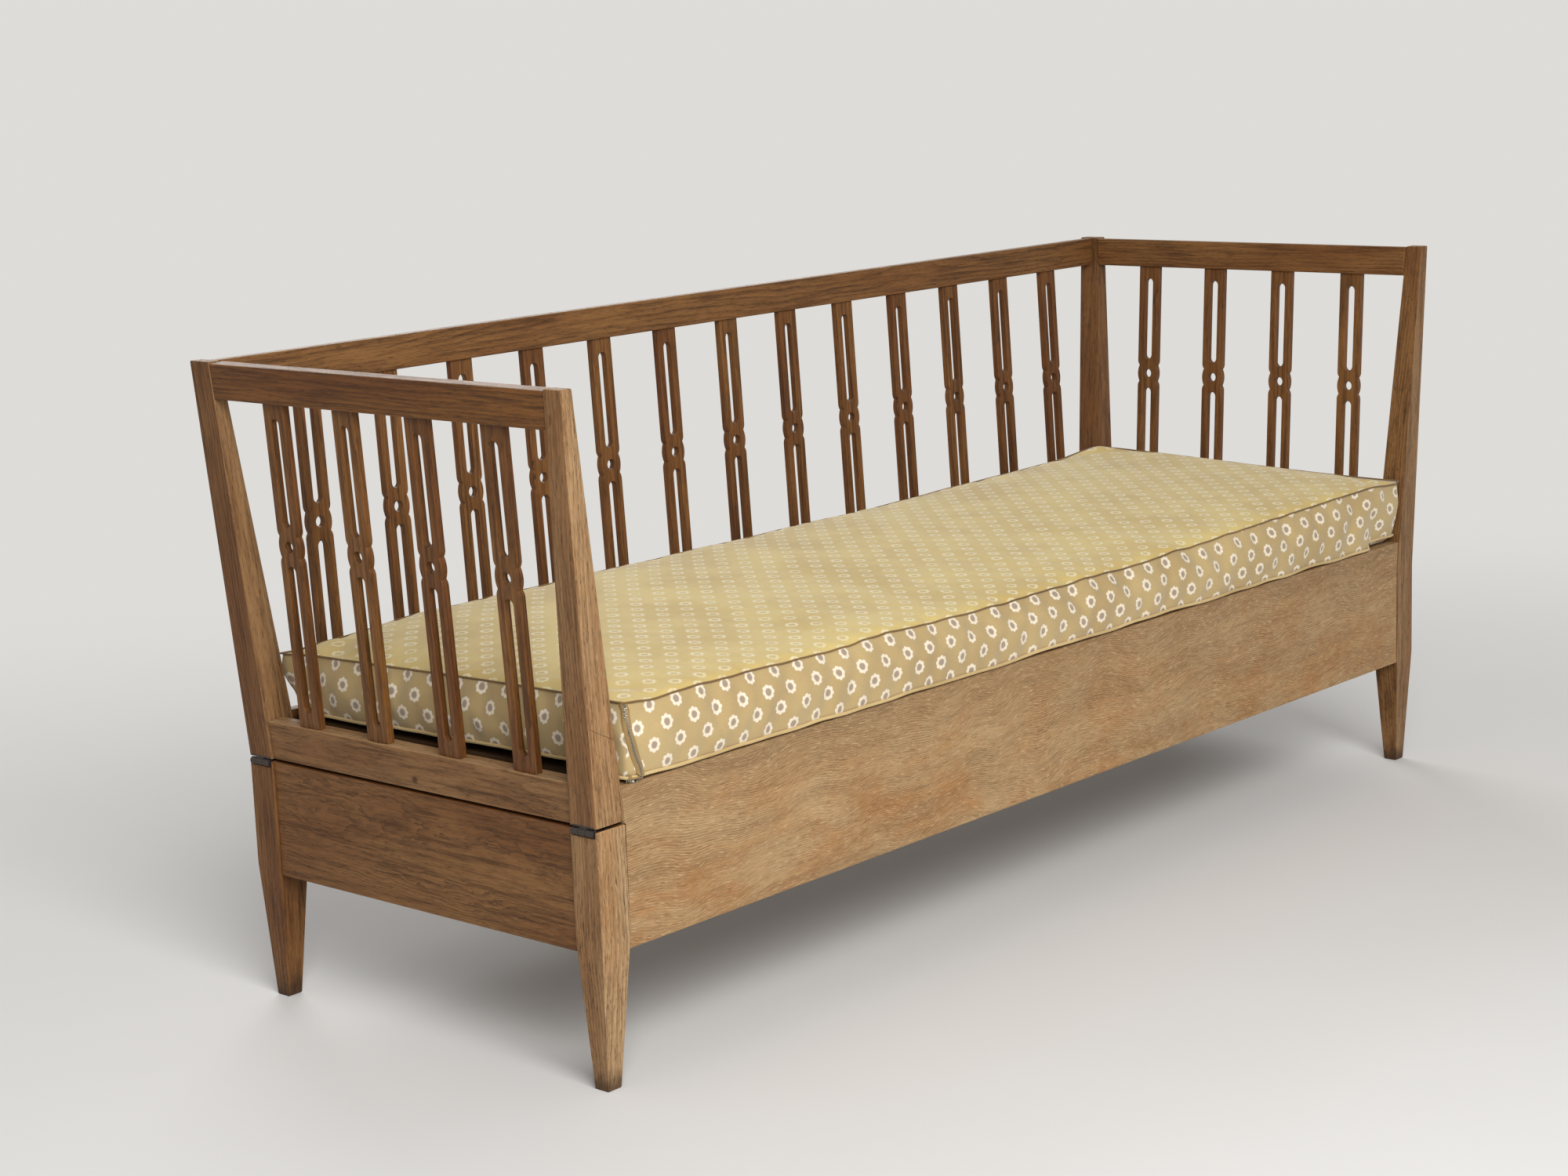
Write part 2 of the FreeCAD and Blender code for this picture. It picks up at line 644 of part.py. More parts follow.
# Spring catch: a stud in the arm's rear post, and a clip in the end of the back's top rail
stud_start = "(catch_post_x - stud_root)"
stud_end = "(catch_post_x + stud_reach)"
stud_turn = "rotation(vector(0; 1; 0); 90)"
stud_shank = doc.addObject("Part::Cylinder", "stud_shank")
bind(stud_shank, Radius="stud_radius", Height=f"{stud_end} - {stud_start}",
     Placement=f"placement(vector({stud_start}; catch_world_y; catch_world_z); {stud_turn})")
stud_tip = doc.addObject("Part::Sphere", "stud_tip")
bind(stud_tip, Radius="stud_radius",
     Placement=f"placement(vector({stud_end}; catch_world_y; catch_world_z); {stud_turn})")
catch_stud = fuse("catch_stud", [stud_shank, stud_tip])
clip_mouth = "(catch_post_x + arm_clearance)"
clip_back = f"({clip_mouth} + jaw_length + stud_radius)"
jaw_z = ("catch_rise - jaw_height / 2", "catch_rise + jaw_height / 2")
clip_half = "(jaw_offset + jaw_thickness)"
clip_parts = [block("clip_base", (clip_back, f"{clip_back} + jaw_thickness"),
                    (f"catch_y - {clip_half}", f"catch_y + {clip_half}"), jaw_z, "back_frame")]
jaw_x = (f"{clip_back} - jaw_length", clip_back)
clip_parts.append(block("clip_rear_jaw", jaw_x, ("catch_y + jaw_offset", f"catch_y + {clip_half}"),
                        jaw_z, "back_frame"))
clip_parts.append(block("clip_front_jaw", jaw_x, (f"catch_y - {clip_half}", "catch_y - jaw_offset"),
                        jaw_z, "back_frame"))
catch_screw = screw_at("catch_screw", "catch_screw_length", clip_back, "catch_y", "catch_rise",
                       "0; 1; 0", "-90", "back_frame")
catch_clip = cut("catch_clip", fuse("clip_bent", clip_parts), [catch_screw])
clip_recess = block("clip_recess", (f"{clip_mouth} - overrun", f"{clip_back} + jaw_thickness"),
                    (f"catch_y - {clip_half}", f"catch_y + {clip_half}"), jaw_z, "back_frame")

# Finished legs and posts
front_left_leg = cut("front_left_leg", front_left_blank, front_left_mortises + [
    front_hinge["housing"], front_hinge["leg_plate"], *front_hinge["leg_screws"]])
rear_left_leg = cut("rear_left_leg", rear_left_blank, rear_left_mortises + [
    rear_hinge["housing"], rear_hinge["leg_plate"], *rear_hinge["leg_screws"]])
front_right_post = cut("front_right_post", front_right_blank, front_right_mortises + right_front_mortises)
rear_right_post = cut("rear_right_post", rear_right_blank,
                      rear_right_mortises + right_rear_mortises + back_mortises)
arm_front_post = cut("arm_front_post", arm_front_blank, arm_front_mortises + [
    front_hinge["arm_plate"], *front_hinge["arm_screws"]])
arm_rear_post = cut("arm_rear_post", arm_rear_blank, arm_rear_mortises + [
    rear_hinge["arm_plate"], *rear_hinge["arm_screws"], catch_stud])

# Seat frame
front_apron_blank = padded(
    "front_apron_blank",
    [(f"-{apron_tenon_x}", "apron_bottom"), (apron_tenon_x, "apron_bottom"), (apron_tenon_x, "apron_top"),
     ("-ear_x", "apron_top"), ("-(inner_x - arm_clearance)", "arm_base"),
     ("-(inner_x - arm_clearance)", "leg_top"), (f"-{apron_tenon_x}", "leg_top")],
    "apron_thickness", shift(WORLD, "0", "front_apron_inner", "0"))
back_apron_blank = block("back_apron_blank", (f"-{apron_tenon_x}", apron_tenon_x), back_apron_y,
                         ("apron_bottom", "leg_top"))
bearer_x = ("bearer_end_gap - inner_x", "inner_x - bearer_end_gap")
bearer_z = ("slat_bottom - bearer_height", "slat_bottom")
bearer_places = spread("bearer_screw_inset - inner_x", "inner_x - bearer_screw_inset", BEARER_SCREWS)
bearer_screw_z = "slat_bottom - bearer_height + bearer_screw_rise"
front_bearer_screws = [
    screw_at(f"front_bearer_screw_{i}", "bearer_screw_length", x, "front_apron_inner + bearer_thickness",
             bearer_screw_z, "1; 0; 0", "-90") for i, x in enumerate(bearer_places)]
back_bearer_screws = [
    screw_at(f"back_bearer_screw_{i}", "bearer_screw_length", x, "back_apron_inner - bearer_thickness",
             bearer_screw_z, "1; 0; 0", "90") for i, x in enumerate(bearer_places)]
bearer_screws = group("bearer_screws", front_bearer_screws + back_bearer_screws)
front_apron = tenoned("front_apron", front_apron_blank, [
    (front_left_blank, front_left_mortises[0]), (front_right_blank, front_right_mortises[0])],
    front_bearer_screws)
back_apron = tenoned("back_apron", back_apron_blank, [
    (rear_left_blank, rear_left_mortises[0]), (rear_right_blank, rear_right_mortises[0])], back_bearer_screws)
left_apron_blank = block("left_apron_blank", left_apron_x, side_apron_y, ("apron_bottom", "leg_top"))
left_apron = tenoned("left_apron", left_apron_blank, [
    (front_left_blank, front_left_mortises[1]), (rear_left_blank, rear_left_mortises[1])], [])
right_apron_blank = block("right_apron_blank", right_apron_x, side_apron_y, ("apron_bottom", "arm_base"))
right_apron = tenoned("right_apron", right_apron_blank, [
    (front_right_blank, front_right_mortises[1]), (rear_right_blank, rear_right_mortises[1])], [])
front_bearer = cut("front_bearer", block(
    "front_bearer_blank", bearer_x, ("front_apron_inner", "front_apron_inner + bearer_thickness"), bearer_z),
    front_bearer_screws)
back_bearer = cut("back_bearer", block(
    "back_bearer_blank", bearer_x, ("back_apron_inner - bearer_thickness", "back_apron_inner"), bearer_z),
    back_bearer_screws)
slat_places = spread("slat_first", "-(slat_first) - slat_width", SEAT_SLATS)
seat_slats = group("seat_slats", [
    block(f"seat_slat_{index:02d}", (x, f"{x} + slat_width"), ("slat_front", "slat_back"),
          ("slat_bottom", "apron_top")) for index, x in enumerate(slat_places, start=1)])

# Rails of the drop arm: cut to their shoulders by the posts, and mortised by the splats
top_rail_section = [("rail_setback", "rail_bottom"), ("rail_setback + rail_thickness", "rail_bottom"),
                    ("rail_setback + rail_thickness", "rail_top"), ("rail_setback", "rail_top")]
bottom_rail_section = [
    ("bottom_rail_setback", "-bottom_rail_setback * tan(end_lean)"),
    ("iron_face", "-iron_face * tan(end_lean)"),
    ("iron_face", "bottom_rail_height"), ("bottom_rail_setback", "bottom_rail_height")]
iron_places = ["front_leg_inner + iron_inset", "rear_leg_inner - iron_inset"]
iron_screw_w = ["(bottom_rail_height - iron_screw_spread) / 2",
                "(bottom_rail_height + iron_screw_spread) / 2"]
iron_screws = [
    screw_at(f"iron_screw_{i}_{j}", "iron_screw_length", "iron_face + iron_thickness", y, w, "0; 1; 0", "90",
             "arm_frame") for i, y in enumerate(iron_places) for j, w in enumerate(iron_screw_w)]
stop_iron_screws = group("stop_iron_screws", iron_screws)
stop_irons = []
for name, y, own_screws in zip(("front_stop_iron", "rear_stop_iron"), iron_places,
                               (iron_screws[:2], iron_screws[2:])):
    bar = block(f"{name}_bar", ("iron_face", "iron_face + iron_thickness"),
                (f"{y} - iron_width / 2", f"{y} + iron_width / 2"),
                ("-iron_tail", "bottom_rail_height - iron_top_inset"), "arm_frame")
    stop_irons.append(cut(name, bar, own_screws))
arm_top_blank = padded("arm_top_blank", top_rail_section, "rear_tenon_y - (front_tenon_y)",
                       shift("arm_frame", "0", "rear_tenon_y", "0"))
arm_bottom_blank = padded("arm_bottom_blank", bottom_rail_section, f"{low_rear_y} - ({low_front_y})",
                          shift("arm_frame", "0", low_rear_y, "0"))
arm_top_rail = tenoned("arm_top_rail", arm_top_blank, [
    (arm_front_wide, arm_front_mortises[0]), (arm_rear_wide, arm_rear_mortises[0])], arm_splats)
arm_bottom_plain = tenoned("arm_bottom_plain", arm_bottom_blank, [
    (arm_front_wide, arm_front_mortises[1]), (arm_rear_wide, arm_rear_mortises[1])], arm_splats)
arm_bottom_rail = cut("arm_bottom_rail", arm_bottom_plain, [stop_iron_screws, hinge_arm_screws])
right_top_rail = mirrored("right_top_rail", arm_top_rail)
right_bottom_rail = mirrored("right_bottom_rail", arm_bottom_plain)

# Rails of the back: clear of the arm's rear post at the left, tenoned into the post at the right
arm_envelope = taper("arm_envelope", ("arm_base", "sofa_height"),
                     ("-half_length - overrun", "arm_clearance - inner_x", "rear_leg_inner - overrun",
                      "back_face + overrun"),
                     ("-half_length - end_flare - overrun", "arm_clearance - inner_x_top",
                      "rear_clear_top - overrun", "sofa_depth / 2 + overrun"))
back_top_blank = block("back_top_blank", ("-inner_x_top - overrun", back_top_end),
                       ("-rail_setback - rail_thickness", "-rail_setback"), ("rail_bottom", "rail_top"),
                       "back_frame")
back_top_rail = tenoned("back_top_rail", back_top_blank, [(rear_right_blank, back_mortises[0])],
                        [arm_envelope, clip_recess, catch_screw] + back_splats)
back_bottom_face = "bottom_rail_setback + back_bottom_rail_thickness"
back_bottom_section = [
    ("-bottom_rail_setback", "bottom_rail_height"), (f"-({back_bottom_face})", "bottom_rail_height"),
    (f"-({back_bottom_face})", f"-(arm_gap + ({back_bottom_face}) * sin(back_tilt)) / cos(back_tilt)"),
    ("-bottom_rail_setback", "-(arm_gap + bottom_rail_setback * sin(back_tilt)) / cos(back_tilt)")]
back_bottom_blank = doc.addObject("PartDesign::Body", "back_bottom_blank")
back_bottom_sketch = sketch_on(back_bottom_blank, "back_bottom_section", "YZ_Plane")
loop(back_bottom_sketch, back_bottom_section)
back_bottom_pad = back_bottom_blank.newObject("PartDesign::Pad", "back_bottom_pad")
back_bottom_pad.Profile = back_bottom_sketch
bind(back_bottom_pad, Length=f"2 * ({back_bottom_end})")
bind(back_bottom_blank, Placement=shift("back_frame", f"-({back_bottom_end})", "0", "0"))
back_bottom_rail = tenoned("back_bottom_rail", back_bottom_blank, [(rear_right_blank, back_mortises[1])],
                           [arm_envelope, rear_left_blank] + back_splats)

# Seat cushion: a filling in a zipped cover, crowned on top and drawn in between its corners

def cushion_level(body, name, level, inset):
    """The cushion's outline at a level, drawn in along each side."""
    sketch = sketch_on(body, name, "XY_Plane")
    bind(sketch, **{"AttachmentOffset.Base.z": level})
    half = f"(cushion_half - ({inset}))"
    front = f"(cushion_front + ({inset}))"
    back = f"(cushion_back - ({inset}))"
    deep = f"({back} - {front})"
    side_radius = f"({half} * {half} + cushion_side_draw * cushion_side_draw) / (2 * cushion_side_draw)"
    end_radius = (f"({deep} * {deep} / 4 + cushion_end_draw * cushion_end_draw)"
                  " / (2 * cushion_end_draw)")
    loop(sketch, [(f"-{half}", front), (half, front), (half, back), (f"-{half}", back)],
         {0: (side_radius, -1), 1: (end_radius, -1), 2: (side_radius, -1), 3: (end_radius, -1)})
    return sketch


def cushion_form(name, skin):
    """A boxed form with a rolled lower edge and a crowned top, some way inside the cover's outside."""
    body = doc.addObject("PartDesign::Body", name)
    bottom = f"(cushion_bottom + {skin})"
    top = f"(cushion_bottom + cushion_height - {skin})"
    levels = [(bottom, "cushion_edge_roll"), (f"{bottom} + cushion_edge_roll", "0"),
              (f"{top} - cushion_edge_roll", "0"), (top, "cushion_edge_roll"),
              (f"{top} + cushion_crown * {CROWN_SHOULDER_SHARE}", "crown_slope"),
              (f"{top} + cushion_crown", "crown_top")]
    outlines = [cushion_level(body, f"{name}_level_{index}", level, f"{inset} + {skin}")
                for index, (level, inset) in enumerate(levels)]
    loft = body.newObject("PartDesign::AdditiveLoft", f"{name}_loft")
    loft.Profile = outlines[0]
    loft.Sections = outlines[1:]
    loft.Ruled = True
    return body


cushion_core = cushion_form("cushion_core", "cover_thickness")
cushion_cover = cut("cushion_cover", cushion_form("cushion_outside", "0"), [cushion_core])

# Check and write the finished pieces
PIECES = [
    front_left_leg, rear_left_leg, front_right_post, rear_right_post,
    front_apron, back_apron, left_apron, right_apron, front_bearer, back_bearer, seat_slats, bearer_screws,
    back_top_rail, back_bottom_rail, *back_splats, right_top_rail, right_bottom_rail, *right_splats,
    arm_front_post, arm_rear_post, arm_top_rail, arm_bottom_rail, *arm_splats,
    front_hinge["leg_leaf"], front_hinge["arm_leaf"], front_hinge["pin"],
    rear_hinge["leg_leaf"], rear_hinge["arm_leaf"], rear_hinge["pin"], hinge_leg_screws, hinge_arm_screws,
    *stop_irons, stop_iron_screws, catch_clip, catch_stud, catch_screw, cushion_cover, cushion_core,
]
doc.recompute()
failed = [item.Label for item in doc.Objects if "Invalid" in item.State or "Error" in item.State]
failed += [piece.Label for piece in PIECES if piece.Shape.isNull() or not piece.Shape.isValid()]
if failed:
    raise RuntimeError("these pieces failed: " + ", ".join(failed))
os.makedirs("parts", exist_ok=True)
for piece in PIECES:
    piece.Shape.exportStep(f"parts/{piece.Label}.step")
print(len(PIECES), "pieces written")
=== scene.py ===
import json
import math

import bmesh
import bpy
from mathutils import Matrix, Vector, noise
from mathutils.bvhtree import BVHTree

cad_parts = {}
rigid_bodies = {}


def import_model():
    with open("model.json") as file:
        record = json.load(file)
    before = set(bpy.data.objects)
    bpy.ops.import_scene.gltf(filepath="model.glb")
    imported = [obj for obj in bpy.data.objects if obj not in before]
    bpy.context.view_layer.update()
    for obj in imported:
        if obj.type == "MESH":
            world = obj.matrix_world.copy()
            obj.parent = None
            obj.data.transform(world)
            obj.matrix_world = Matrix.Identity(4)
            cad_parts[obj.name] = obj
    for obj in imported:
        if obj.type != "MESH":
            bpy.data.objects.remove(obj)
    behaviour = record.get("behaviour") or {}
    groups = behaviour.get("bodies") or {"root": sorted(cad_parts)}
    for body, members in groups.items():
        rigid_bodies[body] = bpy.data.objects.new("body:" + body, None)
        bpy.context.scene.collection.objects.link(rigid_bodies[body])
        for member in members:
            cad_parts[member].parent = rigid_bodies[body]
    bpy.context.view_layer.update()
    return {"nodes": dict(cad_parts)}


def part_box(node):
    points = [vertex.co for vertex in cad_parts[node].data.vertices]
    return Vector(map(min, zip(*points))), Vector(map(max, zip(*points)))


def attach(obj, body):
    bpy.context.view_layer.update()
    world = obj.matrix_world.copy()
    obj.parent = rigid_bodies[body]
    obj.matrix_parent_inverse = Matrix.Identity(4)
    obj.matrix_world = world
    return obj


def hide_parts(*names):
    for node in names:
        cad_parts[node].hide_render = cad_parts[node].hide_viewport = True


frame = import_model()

MM = 0.001
SCENE = bpy.context.scene
SCENE.view_settings.view_transform = "Standard"


class Wire:
    """One node socket. Sums, products and powers of wires add Math nodes."""

    def __init__(self, tree, socket=None):
        self.tree = tree
        self.socket = socket

    def add(self, kind, settings=None, sockets=None, out=0):
        """A node with its settings and its sockets' values or wires, given as the output asked for."""
        node = self.tree.nodes.new(kind)
        for name, value in (settings or {}).items():
            setattr(node, name, value)
        for key, value in (sockets or {}).items():
            if isinstance(value, Wire):
                self.tree.links.new(value.socket, node.inputs[key])
            else:
                node.inputs[key].default_value = value
        if isinstance(out, tuple):
            return [Wire(self.tree, node.outputs[key]) for key in out]
        return Wire(self.tree, node.outputs[out])

    def reckon(self, operation, *values):
        return self.add("ShaderNodeMath", {"operation": operation}, dict(enumerate(values)))

    def math(self, operation, *others):
        """A Math node on this value and any others."""
        return self.reckon(operation, self, *others)

    def __add__(self, other):
        return self.math("ADD", other)

    def __sub__(self, other):
        return self.math("SUBTRACT", other)

    def __rsub__(self, other):
        return self.reckon("SUBTRACT", other, self)

    def __mul__(self, other):
        return self.math("MULTIPLY", other)

    def __truediv__(self, other):
        return self.math("DIVIDE", other)

    def __pow__(self, other):
        return self.math("POWER", other)

    __radd__ = __add__
    __rmul__ = __mul__

    def place(self):
        """Object coordinates, which are the part's own frame in metres."""
        return self.add("ShaderNodeTexCoord", None, None, "Object")

    def attribute(self, name, out):
        return self.add("ShaderNodeAttribute", {"attribute_name": name}, None, out)

    def scaled(self, x, y, z):
        """The vector times three numbers, which stretches a pattern."""
        return self.add("ShaderNodeVectorMath", {"operation": "MULTIPLY"}, {0: self, 1: (x, y, z)})

    def parts(self):
        """The vector's three numbers."""
        return self.add("ShaderNodeSeparateXYZ", None, {0: self}, (0, 1, 2))

    def cloud(self, scale, detail=3.0, rough=0.55):
        """A noise value over this vector."""
        return self.add("ShaderNodeTexNoise", None,
                        {"Vector": self, "Scale": scale, "Detail": detail, "Roughness": rough})

    def figure(self, along, across, detail, rough=0.55):
        """Noise drawn out along the grain: its scale along it and across it."""
        return self.scaled(along, across, across).cloud(1.0, detail, rough)

    def step(self, low, high):
        """0 below low, 1 above high, smooth between."""
        return self.add("ShaderNodeMapRange", {"interpolation_type": "SMOOTHSTEP"},
                        {0: self, 1: low, 2: high, 3: 0.0, 4: 1.0})

    def tint(self, first, second):
        """The first colour where this is 0, the second where it is 1."""
        return self.add("ShaderNodeMix", {"data_type": "RGBA"}, {0: self, 6: first, 7: second}, 2)


def srgb(red, green, blue):
    """A colour as seen on a screen, 0 to 255, as the linear colour a socket takes."""
    linear = []
    for part in (red, green, blue):
        part = part / 255.0
        linear.append(part / 12.92 if part <= 0.04045 else ((part + 0.055) / 1.055) ** 2.4)
    return (*linear, 1.0)


def new_finish(name):
    """An empty material and a wire to build it with."""
    material = bpy.data.materials.new(name)
    material.use_nodes = True
    material.node_tree.nodes.clear()
    return material, Wire(material.node_tree)


def finish_surface(wire, sockets):
    """Ends a material in one shader with these sockets."""
    surface = wire.add("ShaderNodeBsdfPrincipled", None, sockets)
    wire.add("ShaderNodeOutputMaterial", None, {"Surface": surface}, ())


def bumped(height, strength, distance):
    """A normal that follows a height over the surface."""
    return height.add("ShaderNodeBump", None,
                      {"Strength": strength, "Distance": distance, "Height": height})


def placed(name, data):
    """A new object at the origin."""
    piece = bpy.data.objects.new(name, data)
    SCENE.collection.objects.link(piece)
    return piece


def settled(piece):
    """The plain mesh that a piece's curve or modifiers make."""
    return bpy.data.meshes.new_from_object(piece.evaluated_get(bpy.context.evaluated_depsgraph_get()))


def apply_modifiers(piece):
    """Gives a piece the plain mesh that its modifiers make, and removes them."""
    mesh = settled(piece)
    piece.modifiers.clear()
    piece.data = mesh


# Timber finishes

# Pale, warm and dark tones of each wood
BLEACHED = (srgb(190, 160, 120), srgb(176, 134, 90), srgb(112, 80, 50))
AGED = (srgb(126, 83, 40), srgb(106, 63, 28), srgb(54, 30, 13))
RIPPLE_TONES = (srgb(179, 148, 107), srgb(170, 124, 78), srgb(90, 63, 39))
# Pine tones kept dark: painted shade in the gap under the cushion
PINE_TONES = (srgb(92, 68, 44), srgb(76, 55, 35), srgb(46, 32, 21))
PORE_TONE = srgb(48, 31, 18)
FLECK_TONE = srgb(212, 180, 138)

# How much the rings widen along the stick
RING_CONE = 0.009

# Middle of each knot in metres and its radius in millimetres
KNOTS = [(-0.888, -0.010, 0.320, 7.0), (-0.394, 0.285, 0.600, 6.0), (-0.392, 0.285, 0.581, 5.0),
         (-0.880, 0.185, 0.372, 5.0), (-0.880, 0.061, 0.374, 6.0), (-0.880, -0.188, 0.371, 8.0),
         (-0.880, -0.065, 0.368, 5.0)]
KNOT_TONE = srgb(52, 31, 17)
KNOT_CORE_SHARE = 0.35
KNOT_WANDER = 6.0 * MM

# Hairline crack on the front face of the arm's front post
CRACK_START = Vector((-0.896, -0.3145, 0.4220))
CRACK_END = Vector((-0.861, -0.3145, 0.4035))
CRACK_TONE = srgb(70, 46, 28)
CRACK_WIDTH = 0.9 * MM
CRACK_CORE_SHARE = 0.3
CRACK_WANDER = 4.0 * MM
CRACK_FADE = 2.0 * MM
CRACK_DEPTH, CRACK_DEPTH_END = 10.0 * MM, 14.0 * MM

# Dirt at the feet: full below the first height, gone above the second
FOOT_TONE = srgb(44, 32, 22)
FOOT_DIRTY, FOOT_CLEAN = 16.0 * MM, 46.0 * MM
FOOT_SCUFF = 30.0 * MM


def with_knots(colour, place, tremble):
    """The colour with its dark knots."""
    for x, y, z, size in KNOTS:
        gap = place.add("ShaderNodeVectorMath", {"operation": "DISTANCE"}, {0: place, 1: (x, y, z)}, 1)
        core = size * KNOT_CORE_SHARE * MM + KNOT_WANDER / 2.0
        spot = 1.0 - (gap + tremble * KNOT_WANDER).step(core, size * MM + KNOT_WANDER / 2.0)
        colour = (spot * 0.8).tint(colour, KNOT_TONE)
    return colour


def with_crack(colour, place, tremble):
    """The colour with the crack in it."""
    side, depth, height = place.parts()
    slope = (CRACK_END.z - CRACK_START.z) / (CRACK_END.x - CRACK_START.x)
    slip = height - (CRACK_START.z + (side - CRACK_START.x) * slope) + (tremble - 0.5) * CRACK_WANDER
    crack = 1.0 - slip.math("ABSOLUTE").step(CRACK_WIDTH * CRACK_CORE_SHARE, CRACK_WIDTH)
    crack = crack * side.step(CRACK_START.x - CRACK_FADE, CRACK_START.x)
    crack = crack * (1.0 - side.step(CRACK_END.x, CRACK_END.x + CRACK_FADE))
    crack = crack * (1.0 - depth.step(CRACK_START.y + CRACK_DEPTH, CRACK_START.y + CRACK_DEPTH_END))
    return (crack * 0.55).tint(colour, CRACK_TONE)


def timber_finish(name, bleached, aged, ring_width, sway, shiver, pores, gloss):
    """Wood along the grain attribute: along the piece, across it and through it, in metres."""
    material, wire = new_finish(name)
    grain = wire.attribute("grain", "Vector")
    # Share of the bleached tones on each face: the piece's bleaching, with painted light, highlight and
    # shade by the way the face looks
    bleach = wire.attribute("bleach", "Fac")
    along, across, through = grain.parts()
    radius = (across * across + through * through) ** 0.5 + along * RING_CONE
    radius = radius + grain.figure(1.5, 6.0, 3.0) * sway + grain.figure(26.0, 70.0, 3.0) * shiver
    turn = radius / ring_width
    ring = (1.0 - turn.math("FRACT")) ** 1.8
    ring_strength = grain.figure(5.0, 26.0, 3.0).step(0.28, 0.62)
    patch = grain.figure(2.6, 11.0, 5.0, 0.6).step(0.34, 0.66)
    streak = grain.figure(9.0, 160.0, 4.0, 0.7).step(0.42, 0.70)
    fibre = grain.figure(36.0, 850.0, 2.0, 0.6).step(0.30, 0.72)
    fleck = grain.figure(110.0, 420.0, 2.0).step(0.58, 0.70)
    pore = grain.figure(75.0, 1200.0, 1.0).step(0.58, 0.70)
    pore = pore * (0.45 + ring * ring_strength) * pores
    pale, warm, dark = [bleach.tint(old, washed) for old, washed in zip(aged, bleached)]
    colour = patch.tint(pale, warm)
    colour = (streak * (0.75 - bleach * 0.18)).tint(colour, dark)
    colour = (ring * ring_strength * 0.66).tint(colour, dark)
    colour = (fibre * (0.18 + bleach * 0.26)).tint(colour, dark)
    colour = (fleck * 0.42 * (0.4 + bleach * 0.6)).tint(colour, pale)
    colour = pore.math("MINIMUM", 0.75).tint(colour, PORE_TONE)
    place = wire.place()
    tremble = place.cloud(300.0)
    colour = with_knots(colour, place, tremble)
    colour = with_crack(colour, place, tremble)
    height = place.parts()[2]
    worn = 1.0 - (height + place.cloud(60.0) * FOOT_SCUFF).step(FOOT_DIRTY, FOOT_CLEAN)
    colour = (worn * 0.72).tint(colour, FOOT_TONE)
    relief = ring * ring_strength * -0.5 - pore * 1.2 - fibre * 0.25
    finish_surface(wire, {
        "Base Color": colour,
        "Roughness": gloss + fibre * 0.10 + streak * 0.06 + bleach * 0.14 + worn * 0.15,
        "Normal": bumped(relief, 0.4, 0.5 * MM),
        "Specular IOR Level": 0.2,
    })
    return material


RIPPLE_PITCH = 2.8 * MM
RIPPLE_BEND = 70.0 * MM
RIPPLE_SHIVER = 4.5 * MM

# Heights on the apron: red patches thin out between the first two, and between the others the oak darkens
# towards the cushion, as painted shadow of the cushion with some patina
RED_BELOW, RED_GONE = 0.20, 0.36
CUSHION_SHADOW_FROM, CUSHION_SHADOW_FULL = 0.270, 0.355


def rippled_finish(name, tones):
    """Plain sawn oak with a rippled figure: fine wavy lines, red patches low down and pale flecks."""
    pale, warm, dark = tones
    material, wire = new_finish(name)
    grain = wire.attribute("grain", "Vector")
    along, across, through = grain.parts()
    bend = grain.figure(6.0, 4.0, 1.0) * RIPPLE_BEND
    shiver = grain.figure(30.0, 60.0, 2.0) * RIPPLE_SHIVER
    rise = across + bend + shiver
    flow = wire.add("ShaderNodeCombineXYZ", None, {0: along, 1: rise, 2: through})
    turn = rise * (2.0 * math.pi / RIPPLE_PITCH)
    line = (turn.math("SINE") * 0.5 + 0.5) ** 1.4
    line_strength = grain.figure(11.0, 22.0, 3.0).step(0.32, 0.66)
    dash = flow.figure(70.0, 900.0, 2.0, 0.6).step(0.46, 0.72)
    fleck = flow.figure(90.0, 700.0, 2.0).step(0.54, 0.72)
    band = flow.figure(4.0, 60.0, 5.0, 0.7).step(0.36, 0.70)
    height = wire.place().parts()[2]
    low_down = 1.0 - height.step(RED_BELOW, RED_GONE)
    patch = grain.figure(8.0, 13.0, 5.0, 0.65).step(0.38, 0.68)
    colour = (patch * (0.40 + low_down * 0.55)).tint(pale, warm)
    colour = (band * 0.30).tint(colour, dark)
    # Painted shadow of the cushion along the apron's top, with some patina
    colour = (height.step(CUSHION_SHADOW_FROM, CUSHION_SHADOW_FULL) * 0.26).tint(colour, dark)
    colour = (line * (0.12 + line_strength * 0.30)).tint(colour, dark)
    colour = (dash * 0.44).tint(colour, dark)
    colour = (fleck * 0.46).tint(colour, FLECK_TONE)
    finish_surface(wire, {
        "Base Color": colour,
        "Roughness": 0.56 + dash * 0.10 + line * 0.05,
        "Normal": bumped(0.0 - line * line_strength * 0.5 - dash * 0.9, 0.4, 0.4 * MM),
        "Specular IOR Level": 0.2,
    })
    return material


OAK = timber_finish("oiled_oak", BLEACHED, AGED, ring_width=4.0 * MM,
                    sway=34.0 * MM, shiver=2.2 * MM, pores=1.0, gloss=0.40)
APRON_OAK = timber_finish("apron_oak", BLEACHED, AGED, ring_width=2.9 * MM,
                          sway=60.0 * MM, shiver=9.0 * MM, pores=0.9, gloss=0.44)
RIPPLED_OAK = rippled_finish("rippled_oak", RIPPLE_TONES)
# Pine dark all over: painted shade in the gap under the cushion
PINE = timber_finish("darkened_pine", PINE_TONES, PINE_TONES, ring_width=5.5 * MM,
                     sway=34.0 * MM, shiver=2.2 * MM, pores=0.15, gloss=0.55)


# Metal finishes

